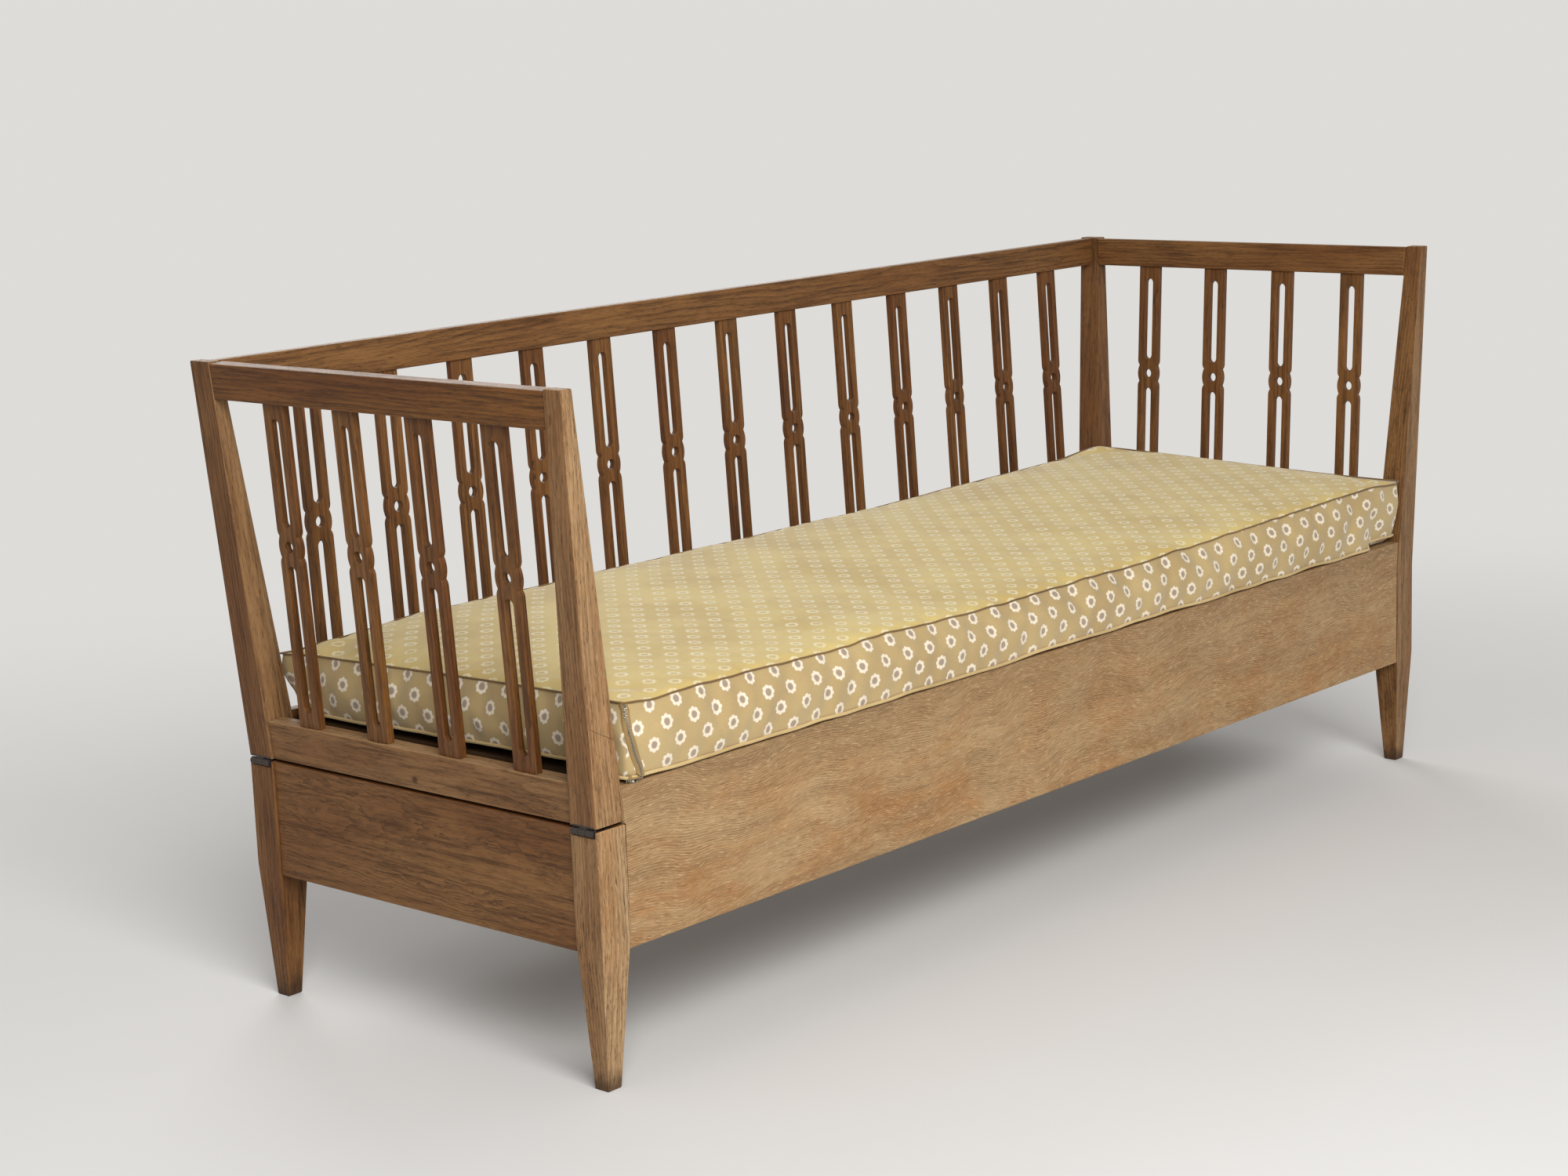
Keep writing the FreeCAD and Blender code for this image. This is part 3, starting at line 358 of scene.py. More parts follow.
def steel_finish(name, clean, stain, gloss, stain_share):
    """Scratched metal with stained spots."""
    material, wire = new_finish(name)
    place = wire.place()
    spots = place.cloud(420.0, 4.0, 0.7)
    stained = spots.step(0.42, 0.66)
    scratch = place.scaled(1800.0, 240.0, 1800.0).cloud(1.0, 2.0).step(0.48, 0.70)
    finish_surface(wire, {
        "Base Color": (stained * stain_share).tint(clean, stain),
        "Metallic": 1.0 - stained * stain_share * 0.6,
        "Roughness": gloss + stained * 0.28 + scratch * 0.08,
        "Normal": bumped(spots * 0.6 + scratch * 0.3, 0.25, 0.2 * MM),
    })
    return material


DARK_STEEL = steel_finish("darkened_steel", srgb(84, 77, 74), srgb(54, 46, 42), 0.46, 0.75)
ZIP_METAL = steel_finish("zip_metal", srgb(176, 170, 156), srgb(104, 94, 78), 0.36, 0.5)
ZINC = steel_finish("zinc_screws", srgb(168, 168, 166), srgb(112, 104, 94), 0.34, 0.45)


# Cotton finishes

# Half-drop print with a flower at the middle and the corners of each cell; the flower is in millimetres
PRINT_PITCH = 43.0 * MM
PRINT_DROP = 44.6 * MM
PRINT_DRIFT = 0.035
FLOWER_RADIUS = 7.1
FLOWER_EYE = 3.8
FLOWER_BLUR = 0.5
EDGING_INNER, EDGING_OUTER = 0.4, 1.1
PETALS = 8
PETAL_DEPTH = 1.9
PETAL_BLUNT = 0.7
PETAL_TONE = srgb(230, 218, 197)
# Petals on the top panel: paler, as painted sheen of the light from above
SHEEN_PETAL_TONE = srgb(240, 228, 190)
EYE_TONE = srgb(152, 137, 124)

THREAD_PITCH = 0.9 * MM
SLUB_TONE = srgb(150, 116, 66)
OCHRE = srgb(186, 162, 114)
OCHRE_DEEP = srgb(173, 148, 102)
# Paler, yellower cloth of the top panel: painted sheen of the light from above
SHEEN_TONE = srgb(223, 198, 125)
SHEEN_TONE_DEEP = srgb(206, 177, 106)


def flower(u, v):
    """Petals, eye and the eye's edging of one printed flower a cell, from cell coordinates."""
    side = (u.math("FRACT") - 0.5) * (PRINT_PITCH / MM)
    rise = (v.math("FRACT") - 0.5) * (PRINT_DROP / MM)
    reach = (side * side + rise * rise) ** 0.5
    turn = rise.math("ARCTAN2", side) * (PETALS / 2.0)
    lobes = turn.math("COSINE").math("ABSOLUTE") ** PETAL_BLUNT
    rim = reach - lobes * PETAL_DEPTH
    petals = 1.0 - rim.step(FLOWER_RADIUS - FLOWER_BLUR, FLOWER_RADIUS + FLOWER_BLUR)
    eye = 1.0 - reach.step(FLOWER_EYE - FLOWER_BLUR, FLOWER_EYE + FLOWER_BLUR)
    edging = 1.0 - reach.step(FLOWER_EYE + EDGING_INNER, FLOWER_EYE + EDGING_OUTER)
    return petals, eye, edging


def with_print(ground, cloth, faded):
    """The ground with its flowers, washed out unevenly on the top panel as painted sheen."""
    u, v = cloth.parts()[:2]
    drift = cloth.cloud(160.0, 2.0) * PRINT_DRIFT
    cell_u = u / PRINT_PITCH + drift
    cell_v = v / PRINT_DROP + drift
    rows = zip(flower(cell_u, cell_v), flower(cell_u + 0.5, cell_v + 0.5))
    petals, eye, edging = [first + second for first, second in rows]
    # Patchy painted sheen on the top panel: there the petals and eyes wash out into the ground
    sheen_patches = cloth.cloud(38.0).step(0.25, 0.62)
    ring = petals * (0.97 - faded * (0.68 - sheen_patches * 0.52))
    colour = ring.tint(ground, faded.tint(PETAL_TONE, SHEEN_PETAL_TONE))
    colour = (edging * 0.85).tint(colour, ground)
    return (eye * (0.85 - faded * 0.75)).tint(colour, EYE_TONE)


def cotton_finish(name, plain, deep, printed=False):
    """Woven cotton; the piece's own UV map is in metres of cloth."""
    material, wire = new_finish(name)
    cloth = wire.add("ShaderNodeUVMap", {"uv_map": "cloth"})
    u, v = cloth.parts()[:2]
    shade = wire.place().cloud(9.0, 4.0).step(0.32, 0.70)
    slub = cloth.scaled(90.0, 1500.0, 1.0).cloud(1.0, 2.0).step(0.35, 0.75)
    # 1 on the top panel, which is painted paler and yellower as sheen of the light from above
    faded = wire.attribute("faded", "Fac")
    colour = faded.tint(shade.tint(plain, deep), shade.tint(SHEEN_TONE, SHEEN_TONE_DEEP))
    colour = (slub * 0.13).tint(colour, SLUB_TONE)
    if printed:
        colour = with_print(colour, cloth, faded)
    warp = u * (2.0 * math.pi / THREAD_PITCH)
    weft = v * (2.0 * math.pi / THREAD_PITCH)
    weave = warp.math("SINE") * weft.math("SINE")
    finish_surface(wire, {
        "Base Color": colour,
        "Roughness": 0.82 + slub * 0.08,
        "Normal": bumped(weave * 0.5 + slub * 0.5, 0.18, 0.3 * MM),
        "Sheen Weight": 0.25,
        "Sheen Roughness": 0.5,
        "Specular IOR Level": 0.25,
    })
    return material


COTTON = cotton_finish("flowered_cotton", OCHRE, OCHRE_DEEP, printed=True)
# Upper piping darker brown than the cloth it is made of: painted shade along its seam
UPPER_CORD = cotton_finish("shaded_piping", srgb(124, 92, 46), srgb(100, 72, 36))
LOWER_CORD = cotton_finish("pale_piping", srgb(204, 178, 124), srgb(182, 154, 100))
ZIP_TAPE = cotton_finish("zip_tape", srgb(150, 122, 74), srgb(132, 104, 60))


# Timber

TIMBER = [name for name in frame["nodes"]
          if name.endswith(("_leg", "_post", "_rail", "_apron")) or "_splat_" in name]
PINE_TIMBER = ["front_bearer", "back_bearer", "seat_slats"]
PINE_FIRST_RUN = 60
SPLAT_EDGE = 0.7 * MM
TIMBER_EDGE = 1.6 * MM
SHORTEST_EASED = 6.0 * MM
SHARP_ANGLE = math.radians(32)
FLAT_ANGLE = math.radians(0.6)
SAME_POINT = 0.02 * MM

# Where in its log a piece is cut: how far on from the piece before, and how far from the pith
LOG_STEP = 3.17
PITH_SIDE, PITH_DEPTH, PITH_DEPTH_SWING = 58.0 * MM, 75.0 * MM, 22.0 * MM
APRON_CUT = Vector((0.35, 0.20, 0.06))
SLAT_PITCH = 131.0 * MM
SLAT_STEP = 1.9
STICK_END_SHARE = 0.2

# How pale each piece is on its front faces and on the others: its own bleaching, with front faces drawn
# paler partly as painted light; the face share function further down uses them
PALED = {
    "front_left_leg": (1.0, 0.60),
    "arm_front_post": (0.82, 0.38),
    "front_right_post": (0.40, 0.12),
    "arm_rear_post": (0.40, 0.10),
    "arm_bottom_rail": (0.24, 0.24),
    "left_apron": (0.12, 0.12),
    # The arm's top rail: its side faces darker than its own tone, as painted shade on its outer face
    "arm_top_rail": (0.0, -0.14),
}
PALED_ELSEWHERE = (0.10, 0.10)
# Splats: broad faces a little paler than their edges and slot walls, which are darker partly from old
# varnish and partly as painted shade in the slots
PALED_SPLAT = 0.05
# Upper faces of rails and posts paler: a painted highlight
PAINTED_TOP_HIGHLIGHT = 0.45
FACING = 0.7


def body_of(node):
    return frame["nodes"][node].parent.name.split(":")[1]


def grain_axes(mesh):
    """Middle of a stick and its directions along, across and through."""
    corners = [vertex.co for vertex in mesh.vertices]
    spans = []
    for axis in range(3):
        values = [corner[axis] for corner in corners]
        spans.append((max(values) - min(values), axis))
    spans.sort(reverse=True)
    main = spans[0][1]
    values = [corner[main] for corner in corners]
    low, high = min(values), max(values)
    end = STICK_END_SHARE * (high - low)
    near_low = [corner for corner in corners if corner[main] < low + end]
    near_high = [corner for corner in corners if corner[main] > high - end]
    along = sum(near_high, Vector()) / len(near_high) - sum(near_low, Vector()) / len(near_low)
    along.normalize()
    side = Vector([1.0 if axis == spans[1][1] else 0.0 for axis in range(3)])
    through = along.cross(side).normalized()
    across = through.cross(along).normalized()
    middle = sum(corners, Vector()) / len(corners)
    return middle, along, across, through


def face_share_with_painted_light(node, normal, through):
    """How pale a face is drawn, 0 as aged and 1 as bleached: its piece's bleaching, with painted light and
    shade by the way the face looks.

    Upper faces of rails and posts add a painted highlight to their piece's own share, which may be below 0;
    upper faces of other pieces take 0.
    """
    if "_splat_" in node:
        # Edges and slot walls of splats darker: partly old varnish, partly painted shade
        return PALED_SPLAT if abs(normal.dot(through)) > 0.5 else 0.0
    front, other = PALED.get(node, PALED_ELSEWHERE)
    # Front faces paler than the piece's others: partly bleaching, partly painted light from the front
    share = front if normal.y < -FACING else other
    # Painted highlight on upper faces of rails and posts; other pieces' upper faces take 0
    if normal.z > FACING:
        share = share + PAINTED_TOP_HIGHLIGHT if node.endswith(("_rail", "_post")) else 0.0
    return share


def mark_edges(mesh, short_too):
    """Joins up the loose triangles of a node and marks its sharp edges for easing."""
    shape = bmesh.new()
    shape.from_mesh(mesh)
    bmesh.ops.remove_doubles(shape, verts=shape.verts, dist=SAME_POINT)
    bmesh.ops.dissolve_limit(shape, angle_limit=FLAT_ANGLE, verts=shape.verts, edges=shape.edges)
    bmesh.ops.triangulate(shape, faces=shape.faces)
    weight = shape.edges.layers.float.new("bevel_weight_edge")
    for edge in shape.edges:
        sharp = edge.calc_face_angle(0.0) > SHARP_ANGLE
        long_enough = short_too or edge.calc_length() > SHORTEST_EASED
        edge[weight] = 1.0 if sharp and long_enough else 0.0
    shape.to_mesh(mesh)
    shape.free()


def lay_grain(mesh, node, order):
    """Gives each point its place in the grain; returns the direction through the piece."""
    middle, along, across, through = grain_axes(mesh)
    depth = PITH_DEPTH + PITH_DEPTH_SWING * math.sin(3.3 * order)
    start = Vector((LOG_STEP * order, PITH_SIDE * math.sin(5.1 * order), depth))
    if node == "front_apron":
        start = APRON_CUT
    grain = mesh.attributes.new("grain", "FLOAT_VECTOR", "POINT")
    for vertex, value in zip(mesh.vertices, grain.data):
        offset = vertex.co - middle
        if node == "seat_slats":
            slat = round(offset.x / SLAT_PITCH)
            run = Vector((offset.y + SLAT_STEP * slat, offset.x - SLAT_PITCH * slat, offset.z))
        else:
            run = Vector((offset.dot(along), offset.dot(across), offset.dot(through)))
        value.vector = run + start
    return through


def softened(node, finish, edge, order):
    """A copy of a timber node with eased edges and its own run of the grain."""
    mesh = frame["nodes"][node].data.copy()
    mesh.name = node + "_timber"
    mesh.materials.clear()
    mesh.materials.append(finish)
    mesh.polygons.foreach_set("material_index", [0] * len(mesh.polygons))
    mark_edges(mesh, "_splat_" in node)
    through = lay_grain(mesh, node, order)
    mesh.shade_smooth()
    piece = placed(node + "_timber", mesh)
    ease = piece.modifiers.new("eased_edges", "BEVEL")
    ease.width = edge
    ease.segments = 2
    ease.limit_method = "WEIGHT"
    ease.use_clamp_overlap = False
    even = piece.modifiers.new("even_light", "WEIGHTED_NORMAL")
    even.weight = 90
    even.keep_sharp = True
    apply_modifiers(piece)
    # Each face's share of the bleached tones, with painted light, highlight and shade in it
    bleach = piece.data.attributes.new("bleach", "FLOAT", "FACE")
    for face, value in zip(piece.data.polygons, bleach.data):
        value.value = face_share_with_painted_light(node, face.normal, through)
    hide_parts(node)
    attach(piece, body_of(node))


for order, node in enumerate(sorted(TIMBER)):
    finish = APRON_OAK if node.endswith("_apron") else OAK
    softened(node, RIPPLED_OAK if node == "front_apron" else finish,
             SPLAT_EDGE if "_splat_" in node else TIMBER_EDGE, order)
for order, node in enumerate(PINE_TIMBER):
    softened(node, PINE, SPLAT_EDGE, order + PINE_FIRST_RUN)


# Hinges, irons, catch and screws

def fittings(names, finish):
    """Gives nodes that keep their shape another finish."""
    for name in names:
        for place in frame["nodes"][name].material_slots:
            place.material = finish


fittings([name for name in frame["nodes"] if "_hinge_" in name and "screws" not in name], DARK_STEEL)
fittings(["front_stop_iron", "rear_stop_iron", "catch_clip", "catch_stud"], DARK_STEEL)
fittings([name for name in frame["nodes"] if name.endswith(("_screws", "_screw"))], ZINC)


# Seat cushion
# A place on it is three shares: a runs from -1 at the left end to 1 at the right, b likewise from front to
# back, and c from 0 at the lower seam to 1 at the upper. Lengths are in millimetres until multiplied by MM.

CUSHION_LOW, CUSHION_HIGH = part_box("cushion_cover")
CUSHION_MIDDLE_Y = (CUSHION_LOW.y + CUSHION_HIGH.y) / 2.0
CUSHION_HALF_X = (CUSHION_HIGH.x - CUSHION_LOW.x) / 2.0
CUSHION_HALF_Y = (CUSHION_HIGH.y - CUSHION_LOW.y) / 2.0
CUSHION_FLOOR = CUSHION_LOW.z
CORNER_ROUND = 7.0 * MM
CROWN = 9.0 * MM
CELLS_LONG, CELLS_DEEP, CELLS_TALL = 148, 50, 9

# Upper seams at the middle of the front and the back, and what the front one rises to each end
FRONT_SEAM, FRONT_RISE_LEFT, FRONT_RISE_RIGHT = 77.0, 12.0, 23.0
BACK_SEAM = 94.0
# Least height of the lower seam over the cushion's floor, and that of the underside
LOWEST_SEAM, UNDERSIDE = 2.4 * MM, 0.4 * MM

# Fold near the right front corner: where along a it starts, its lean over the height and its width
CREASE_LOW, CREASE_LEAN, CREASE_WIDTH = 0.893, 0.050, 0.014

# How far the rear left corner pokes out
EAR_LONG, EAR_DEEP = 14.0 * MM, 15.0 * MM

# Inner faces of the posts: distance from the middle at a level, lean, and the room left before them
POST_FACE, POST_FACE_LEVEL, POST_FACE_LEAN = 0.8535, 0.365, 0.113
POST_ROOM = 1.0 * MM


def smooth(low, high, value):
    """0 at low, 1 at high, smooth between."""
    share = min(1.0, max(0.0, (value - low) / (high - low)))
    return share * share * (3.0 - 2.0 * share)


def ripple(seed, value):
    """A slow, even wander between about -1 and 1."""
    return noise.noise(Vector((value, 7.3 * seed, 1.9 * seed))) * 1.6


def front_top(a):
    """Height of the upper seam along the front, over the cushion's floor."""
    rise = FRONT_RISE_LEFT if a < 0 else FRONT_RISE_RIGHT
    dip = 7.0 * smooth(0.89, 0.98, a) - 2.0 * smooth(0.985, 1.0, a)
    sag = FRONT_SEAM + rise * abs(a) ** 1.7 - dip
    return (sag + 2.0 * ripple(1, a * 9.0) + 1.1 * ripple(2, a * 26.0)) * MM


def back_top(a):
    """Height of the upper seam along the back; its right corner pokes up."""
    left = 8.0 * smooth(0.75, 0.95, -a) + 8.0 * smooth(0.93, 1.0, -a)
    corner = 4.0 * smooth(0.97, 1.0, -a)
    right = 5.0 * smooth(0.2, 0.85, a) + 9.0 * smooth(0.85, 1.0, a)
    return (BACK_SEAM - left + corner + right + 1.2 * ripple(3, a * 8.0)) * MM


def end_lift(b):
    """How far the left end's lower edge stands clear of the slats."""
    return (12.5 - 4.5 * b - 12.0 * smooth(0.80, 1.0, -b) + 1.2 * ripple(5, b * 6.0)) * MM


def lower_seam(a, b):
    """Height of the lower seam over the cushion's floor."""
    gathered = 7.0 * smooth(CREASE_LOW, CREASE_LOW + CREASE_WIDTH, a)
    front = (4.0 + 1.8 * (ripple(4, a * 13.0) + 0.3) + gathered) * MM
    other = (2.8 + 1.2 * (ripple(6, a * 6.0 + b * 3.0) + 0.4)) * MM
    to_front = smooth(0.80, 1.0, -b)
    to_left = smooth(0.93, 1.0, -a) * (1.0 - to_front)
    height = other + (front - other) * to_front
    height = height + (end_lift(b) - height) * to_left
    return max(LOWEST_SEAM, height)


def rounded_corner(x, y):
    """A point of the cushion's plan, with its corners rounded off."""
    over_x = abs(x) - (CUSHION_HALF_X - CORNER_ROUND)
    over_y = abs(y) - (CUSHION_HALF_Y - CORNER_ROUND)
    if over_x > 0.0 and over_y > 0.0:
        length = math.hypot(over_x, over_y)
        reach = max(over_x, over_y)
        x = math.copysign(CUSHION_HALF_X - CORNER_ROUND + over_x / length * reach, x)
        y = math.copysign(CUSHION_HALF_Y - CORNER_ROUND + over_y / length * reach, y)
    return x, y


def front_fold(a, c):
    """How far the fold draws the front in, and the give of the cloth beside it."""
    crease = CREASE_LOW + CREASE_LEAN * c
    past = smooth(crease, crease + CREASE_WIDTH, a)
    fold = (8.0 - 6.0 * c) * past
    give = 2.5 * smooth(crease - 0.09, crease - 0.01, a) * smooth(1.0, 0.6, c)
    return fold, give * (1.0 - past)


def drawn_in(a, b, c):
    """How far the front or back, and the end, are drawn in between their corners."""
    span = 1.0 - a * a
    depth = 1.0 - b * b
    roll = smooth(0.60, 1.0, c)
    tuck = smooth(0.16, 0.0, c)
    belly = math.sin(math.pi * c)
    if b < 0:
        fold, give = front_fold(a, c)
        side = 1.5 + roll * (2.0 + 14.0 * span) + tuck * 1.5 - belly + fold - give
    else:
        side = 1.5 + roll * (3.0 + 8.0 * span) + tuck * 2.0 - belly
    slack = 1.5 + tuck * 2.0 if a < 0 else 0.2
    end = slack + roll * (2.5 + 6.0 * depth) - belly
    return side * MM, end * MM


def cushion_place(a, b, c, rim):
    """Where a point of the cushion lies; rim is true on its sides and seams."""
    x, y = rounded_corner(a * CUSHION_HALF_X, b * CUSHION_HALF_Y)
    side, end = drawn_in(a, b, c)
    y -= math.copysign(abs(b) ** 5 * side, b)
    x -= math.copysign(abs(a) ** 12 * end, a)
    bulge = 4.5 + 5.0 * smooth(0.0, 0.45, c) + 6.0 * smooth(0.4, 1.0, c)
    x += smooth(0.86, 1.0, a) * bulge * MM
    ear = smooth(0.92, 1.0, -a) * smooth(0.84, 1.0, b) * smooth(0.1, 0.9, c)
    x -= EAR_LONG * ear
    y += EAR_DEEP * ear
    to_back = smooth(0.0, 1.0, (b + 1.0) / 2.0)
    high = front_top(a) + (back_top(a) - front_top(a)) * to_back
    low = lower_seam(a, b) if rim else UNDERSIDE + end_lift(b) * smooth(0.93, 1.0, -a)
    crown = CROWN * (1.0 - abs(b) ** 3.0) * (1.0 - abs(a) ** (18.0 if a < 0 else 6.0))
    z = high + crown if c == 1.0 else low + (high - low) * c
    return Vector((x, CUSHION_MIDDLE_Y + y, CUSHION_FLOOR + z))


# The cloth's size; its print is shifted along the front and back, set low on all sides, and slants
CLOTH_LONG, CLOTH_DEEP = 2.0 * CUSHION_HALF_X, 2.0 * CUSHION_HALF_Y
PRINT_SHIFT, PRINT_LOW, PRINT_LOW_END, PRINT_SLANT = 21.0 * MM, 11.0, 2.0, 9.0


def side_cloth(share, climb):
    """Cloth of the front and the back at a share of their length and a way up from the lower seam."""
    rise = (PRINT_SLANT * smooth(0.0, 0.6, share) - PRINT_LOW) * MM
    return share * CLOTH_LONG - PRINT_SHIFT, climb + rise


def end_cloth(share, climb):
    return share * CLOTH_DEEP, climb - PRINT_LOW_END * MM


def cushion_shell():
    """The sewn cover as panels of a fine grid, with its cloth in metres as UV."""
    shape = bmesh.new()
    cloth = shape.loops.layers.uv.new("cloth")
    # Faces of the top panel carry painted sheen: 1 there, 0 elsewhere
    faded = shape.faces.layers.float.new("faded")
    corners = {}

    def corner(i, j, k):
        if (i, j, k) not in corners:
            a = 2.0 * i / CELLS_LONG - 1.0
            b = 2.0 * j / CELLS_DEEP - 1.0
            rim = i in (0, CELLS_LONG) or j in (0, CELLS_DEEP)
            corners[i, j, k] = shape.verts.new(cushion_place(a, b, k / CELLS_TALL, rim))
        return corners[i, j, k]

    def panel(keys, uvs, upper):
        face = shape.faces.new([corner(*key) for key in keys])
        face[faded] = 1.0 if upper else 0.0
        face.smooth = True
        for loop, uv in zip(face.loops, uvs):
            loop[cloth].uv = uv

    def climbs(i, j):
        """The cloth's length up one column of a side, from the lower seam to each row."""
        heights = [0.0]
        for k in range(CELLS_TALL):
            step = corner(i, j, k + 1).co - corner(i, j, k).co
            heights.append(heights[-1] + step.length)
        return heights

    def boxing(columns, turned, cloth_place):
        """One side of the cover between its seams."""
        climb = [climbs(i, j) for i, j in columns]
        last = len(columns) - 1
        for n in range(last):
            for k in range(CELLS_TALL):
                ring = [(n, k), (n + 1, k), (n + 1, k + 1), (n, k + 1)]
                ring = ring[::-1] if turned else ring
                uvs = [cloth_place(p / last, climb[p][q]) for p, q in ring]
                panel([(*columns[p], q) for p, q in ring], uvs, False)

    for i in range(CELLS_LONG):
        for j in range(CELLS_DEEP):
            ring = [(i, j), (i + 1, j), (i + 1, j + 1), (i, j + 1)]
            uvs = [(p / CELLS_LONG * CLOTH_LONG, q / CELLS_DEEP * CLOTH_DEEP) for p, q in ring]
            panel([(p, q, CELLS_TALL) for p, q in ring], uvs, True)
            panel([(p, q, 0) for p, q in reversed(ring)], list(reversed(uvs)), False)
    for j, turned in ((0, False), (CELLS_DEEP, True)):
        boxing([(i, j) for i in range(CELLS_LONG + 1)], turned, side_cloth)
    for i, turned in ((CELLS_LONG, False), (0, True)):
        boxing([(i, j) for j in range(CELLS_DEEP + 1)], turned, end_cloth)

    outline = [(i, 0) for i in range(CELLS_LONG)]
    outline += [(CELLS_LONG, j) for j in range(CELLS_DEEP)]
    outline += [(i, CELLS_DEEP) for i in range(CELLS_LONG, 0, -1)]
    outline += [(0, j) for j in range(CELLS_DEEP, 0, -1)]
    shape.verts.index_update()
    upper = [corners[i, j, CELLS_TALL].index for i, j in outline]
    lower = [corners[i, j, 0].index for i, j in outline]
    underside = [vertex.index for (i, j, k), vertex in corners.items() if k == 0]
    top = {vertex.index for (i, j, k), vertex in corners.items() if k == CELLS_TALL}
    mesh = bpy.data.meshes.new("cushion_cover_sewn")
    shape.to_mesh(mesh)
    shape.free()
    return mesh, upper, lower, underside, top


FILLING_FRAMES = 20
FILLING = {"quality": 5, "mass": 0.3, "tension_stiffness": 12.0, "compression_stiffness": 12.0,
           "shear_stiffness": 4.0, "bending_stiffness": 0.3, "shrink_min": -0.035, "use_pressure": True,
           "uniform_pressure_force": 3.0, "vertex_group_mass": "held"}
TOP_LIMIT, SIDE_LIMIT = 5.0 * MM, 8.0 * MM


def swollen(mesh, held, top):
    """Fills the cover with a short cloth simulation, with its seams and its underside held."""
    piece = placed("cushion_filling_run", mesh)
    piece.vertex_groups.new(name="held").add(held, 1.0, "REPLACE")
    cloth = piece.modifiers.new("cloth", "CLOTH")
    for name, value in FILLING.items():
        setattr(cloth.settings, name, value)
    cloth.settings.effector_weights.gravity = 0.0
    cloth.point_cache.frame_start = 1
    cloth.point_cache.frame_end = FILLING_FRAMES
    for number in range(1, FILLING_FRAMES + 1):
        SCENE.frame_set(number)
    filled = piece.evaluated_get(bpy.context.evaluated_depsgraph_get())
    targets = [vertex.co.copy() for vertex in filled.to_mesh().vertices]
    filled.to_mesh_clear()
    SCENE.frame_set(1)
    bpy.data.objects.remove(piece)
    for vertex, target in zip(mesh.vertices, targets):
        limit = TOP_LIMIT if vertex.index in top else SIDE_LIMIT
        shift = target - vertex.co
        if shift.length > limit:
            shift = shift.normalized() * limit
        vertex.co = vertex.co + shift


def pressed(mesh):
    """Keeps the cover's ends off the leaning inner faces of the posts."""
    for vertex in mesh.vertices:
        room = POST_FACE + (vertex.co.z - POST_FACE_LEVEL) * POST_FACE_LEAN - POST_ROOM
        vertex.co.x = max(-room, min(room, vertex.co.x))


# Piping and zip

def node_tree(name, inputs):
    """An empty Geometry Nodes tree, its named inputs as wires, and their identifiers."""
    tree = bpy.data.node_groups.new(name, "GeometryNodeTree")
    tree.interface.new_socket("Geometry", in_out="INPUT", socket_type="NodeSocketGeometry")
    keys = []
    for label, kind in inputs:
        keys.append(tree.interface.new_socket(label, in_out="INPUT", socket_type=kind).identifier)
    tree.interface.new_socket("Geometry", in_out="OUTPUT", socket_type="NodeSocketGeometry")
    wire = Wire(tree)
    return tree, wire, wire.add("NodeGroupInput", None, None, tuple(range(len(inputs) + 1))), keys


def close_tree(wire, geometry, finish):
    """Realizes what a tree has placed and gives it its finish."""
    geometry = wire.add("GeometryNodeRealizeInstances", None, {"Geometry": geometry})
    geometry = wire.add("GeometryNodeSetMaterial", None, {"Geometry": geometry, "Material": finish})
    wire.add("NodeGroupOutput", None, {0: geometry}, ())


def piping_tree():
    """Geometry Nodes: a round cord along a ring of points."""
    tree, wire, sockets, keys = node_tree("piping_cord", [("Cord radius", "NodeSocketFloat"),
                                                          ("Cord sides", "NodeSocketInt"),
                                                          ("Cord cloth", "NodeSocketMaterial")])
    path, radius, sides, finish = sockets
    curve = wire.add("GeometryNodeMeshToCurve", None, {"Mesh": path})
    ring = wire.add("GeometryNodeCurvePrimitiveCircle", None, {"Resolution": sides, "Radius": radius})
    cord = wire.add("GeometryNodeCurveToMesh", None, {"Curve": curve, "Profile Curve": ring})
    close_tree(wire, cord, finish)
    return tree, keys


def teeth_tree(finish):
    """Geometry Nodes: metal teeth in two rows, on edge along a path on the cloth."""
    tree, wire, sockets, keys = node_tree("zip_teeth", [("Spacing", "NodeSocketFloat"),
                                                        ("Tooth size", "NodeSocketVector"),
                                                        ("Row shift", "NodeSocketFloat")])
    path, spacing, size, shift = sockets
    curve = wire.add("GeometryNodeMeshToCurve", None, {"Mesh": path})
    curve = wire.add("GeometryNodeResampleCurve", {"mode": "LENGTH"},
                     {"Curve": curve, "Length": spacing})
    lift = wire.add("GeometryNodeInputNamedAttribute", {"data_type": "FLOAT_VECTOR"}, {"Name": "lift"})
    run = wire.add("GeometryNodeInputTangent")
    stand = wire.add("FunctionNodeAlignRotationToVector", {"axis": "Z"}, {"Vector": lift})
    stand = wire.add("FunctionNodeAlignRotationToVector", {"axis": "X", "pivot_axis": "Z"},
                     {"Rotation": stand, "Vector": run})
    tooth = wire.add("GeometryNodeMeshCube", None, {"Size": size})
    teeth = wire.add("GeometryNodeInstanceOnPoints", None,
                     {"Points": curve, "Instance": tooth, "Rotation": stand})
    side = wire.add("GeometryNodeInputIndex").math("MODULO", 2.0) * 2.0 - 1.0
    step = wire.add("ShaderNodeCombineXYZ", None, {"Y": side * shift})
    teeth = wire.add("GeometryNodeTranslateInstances", None,
                     {"Instances": teeth, "Translation": step, "Local Space": True})
    close_tree(wire, teeth, finish)
    return tree, keys


PIPING_TREE, PIPING_KEYS = piping_tree()
TEETH_TREE, TEETH_KEYS = teeth_tree(ZIP_METAL)

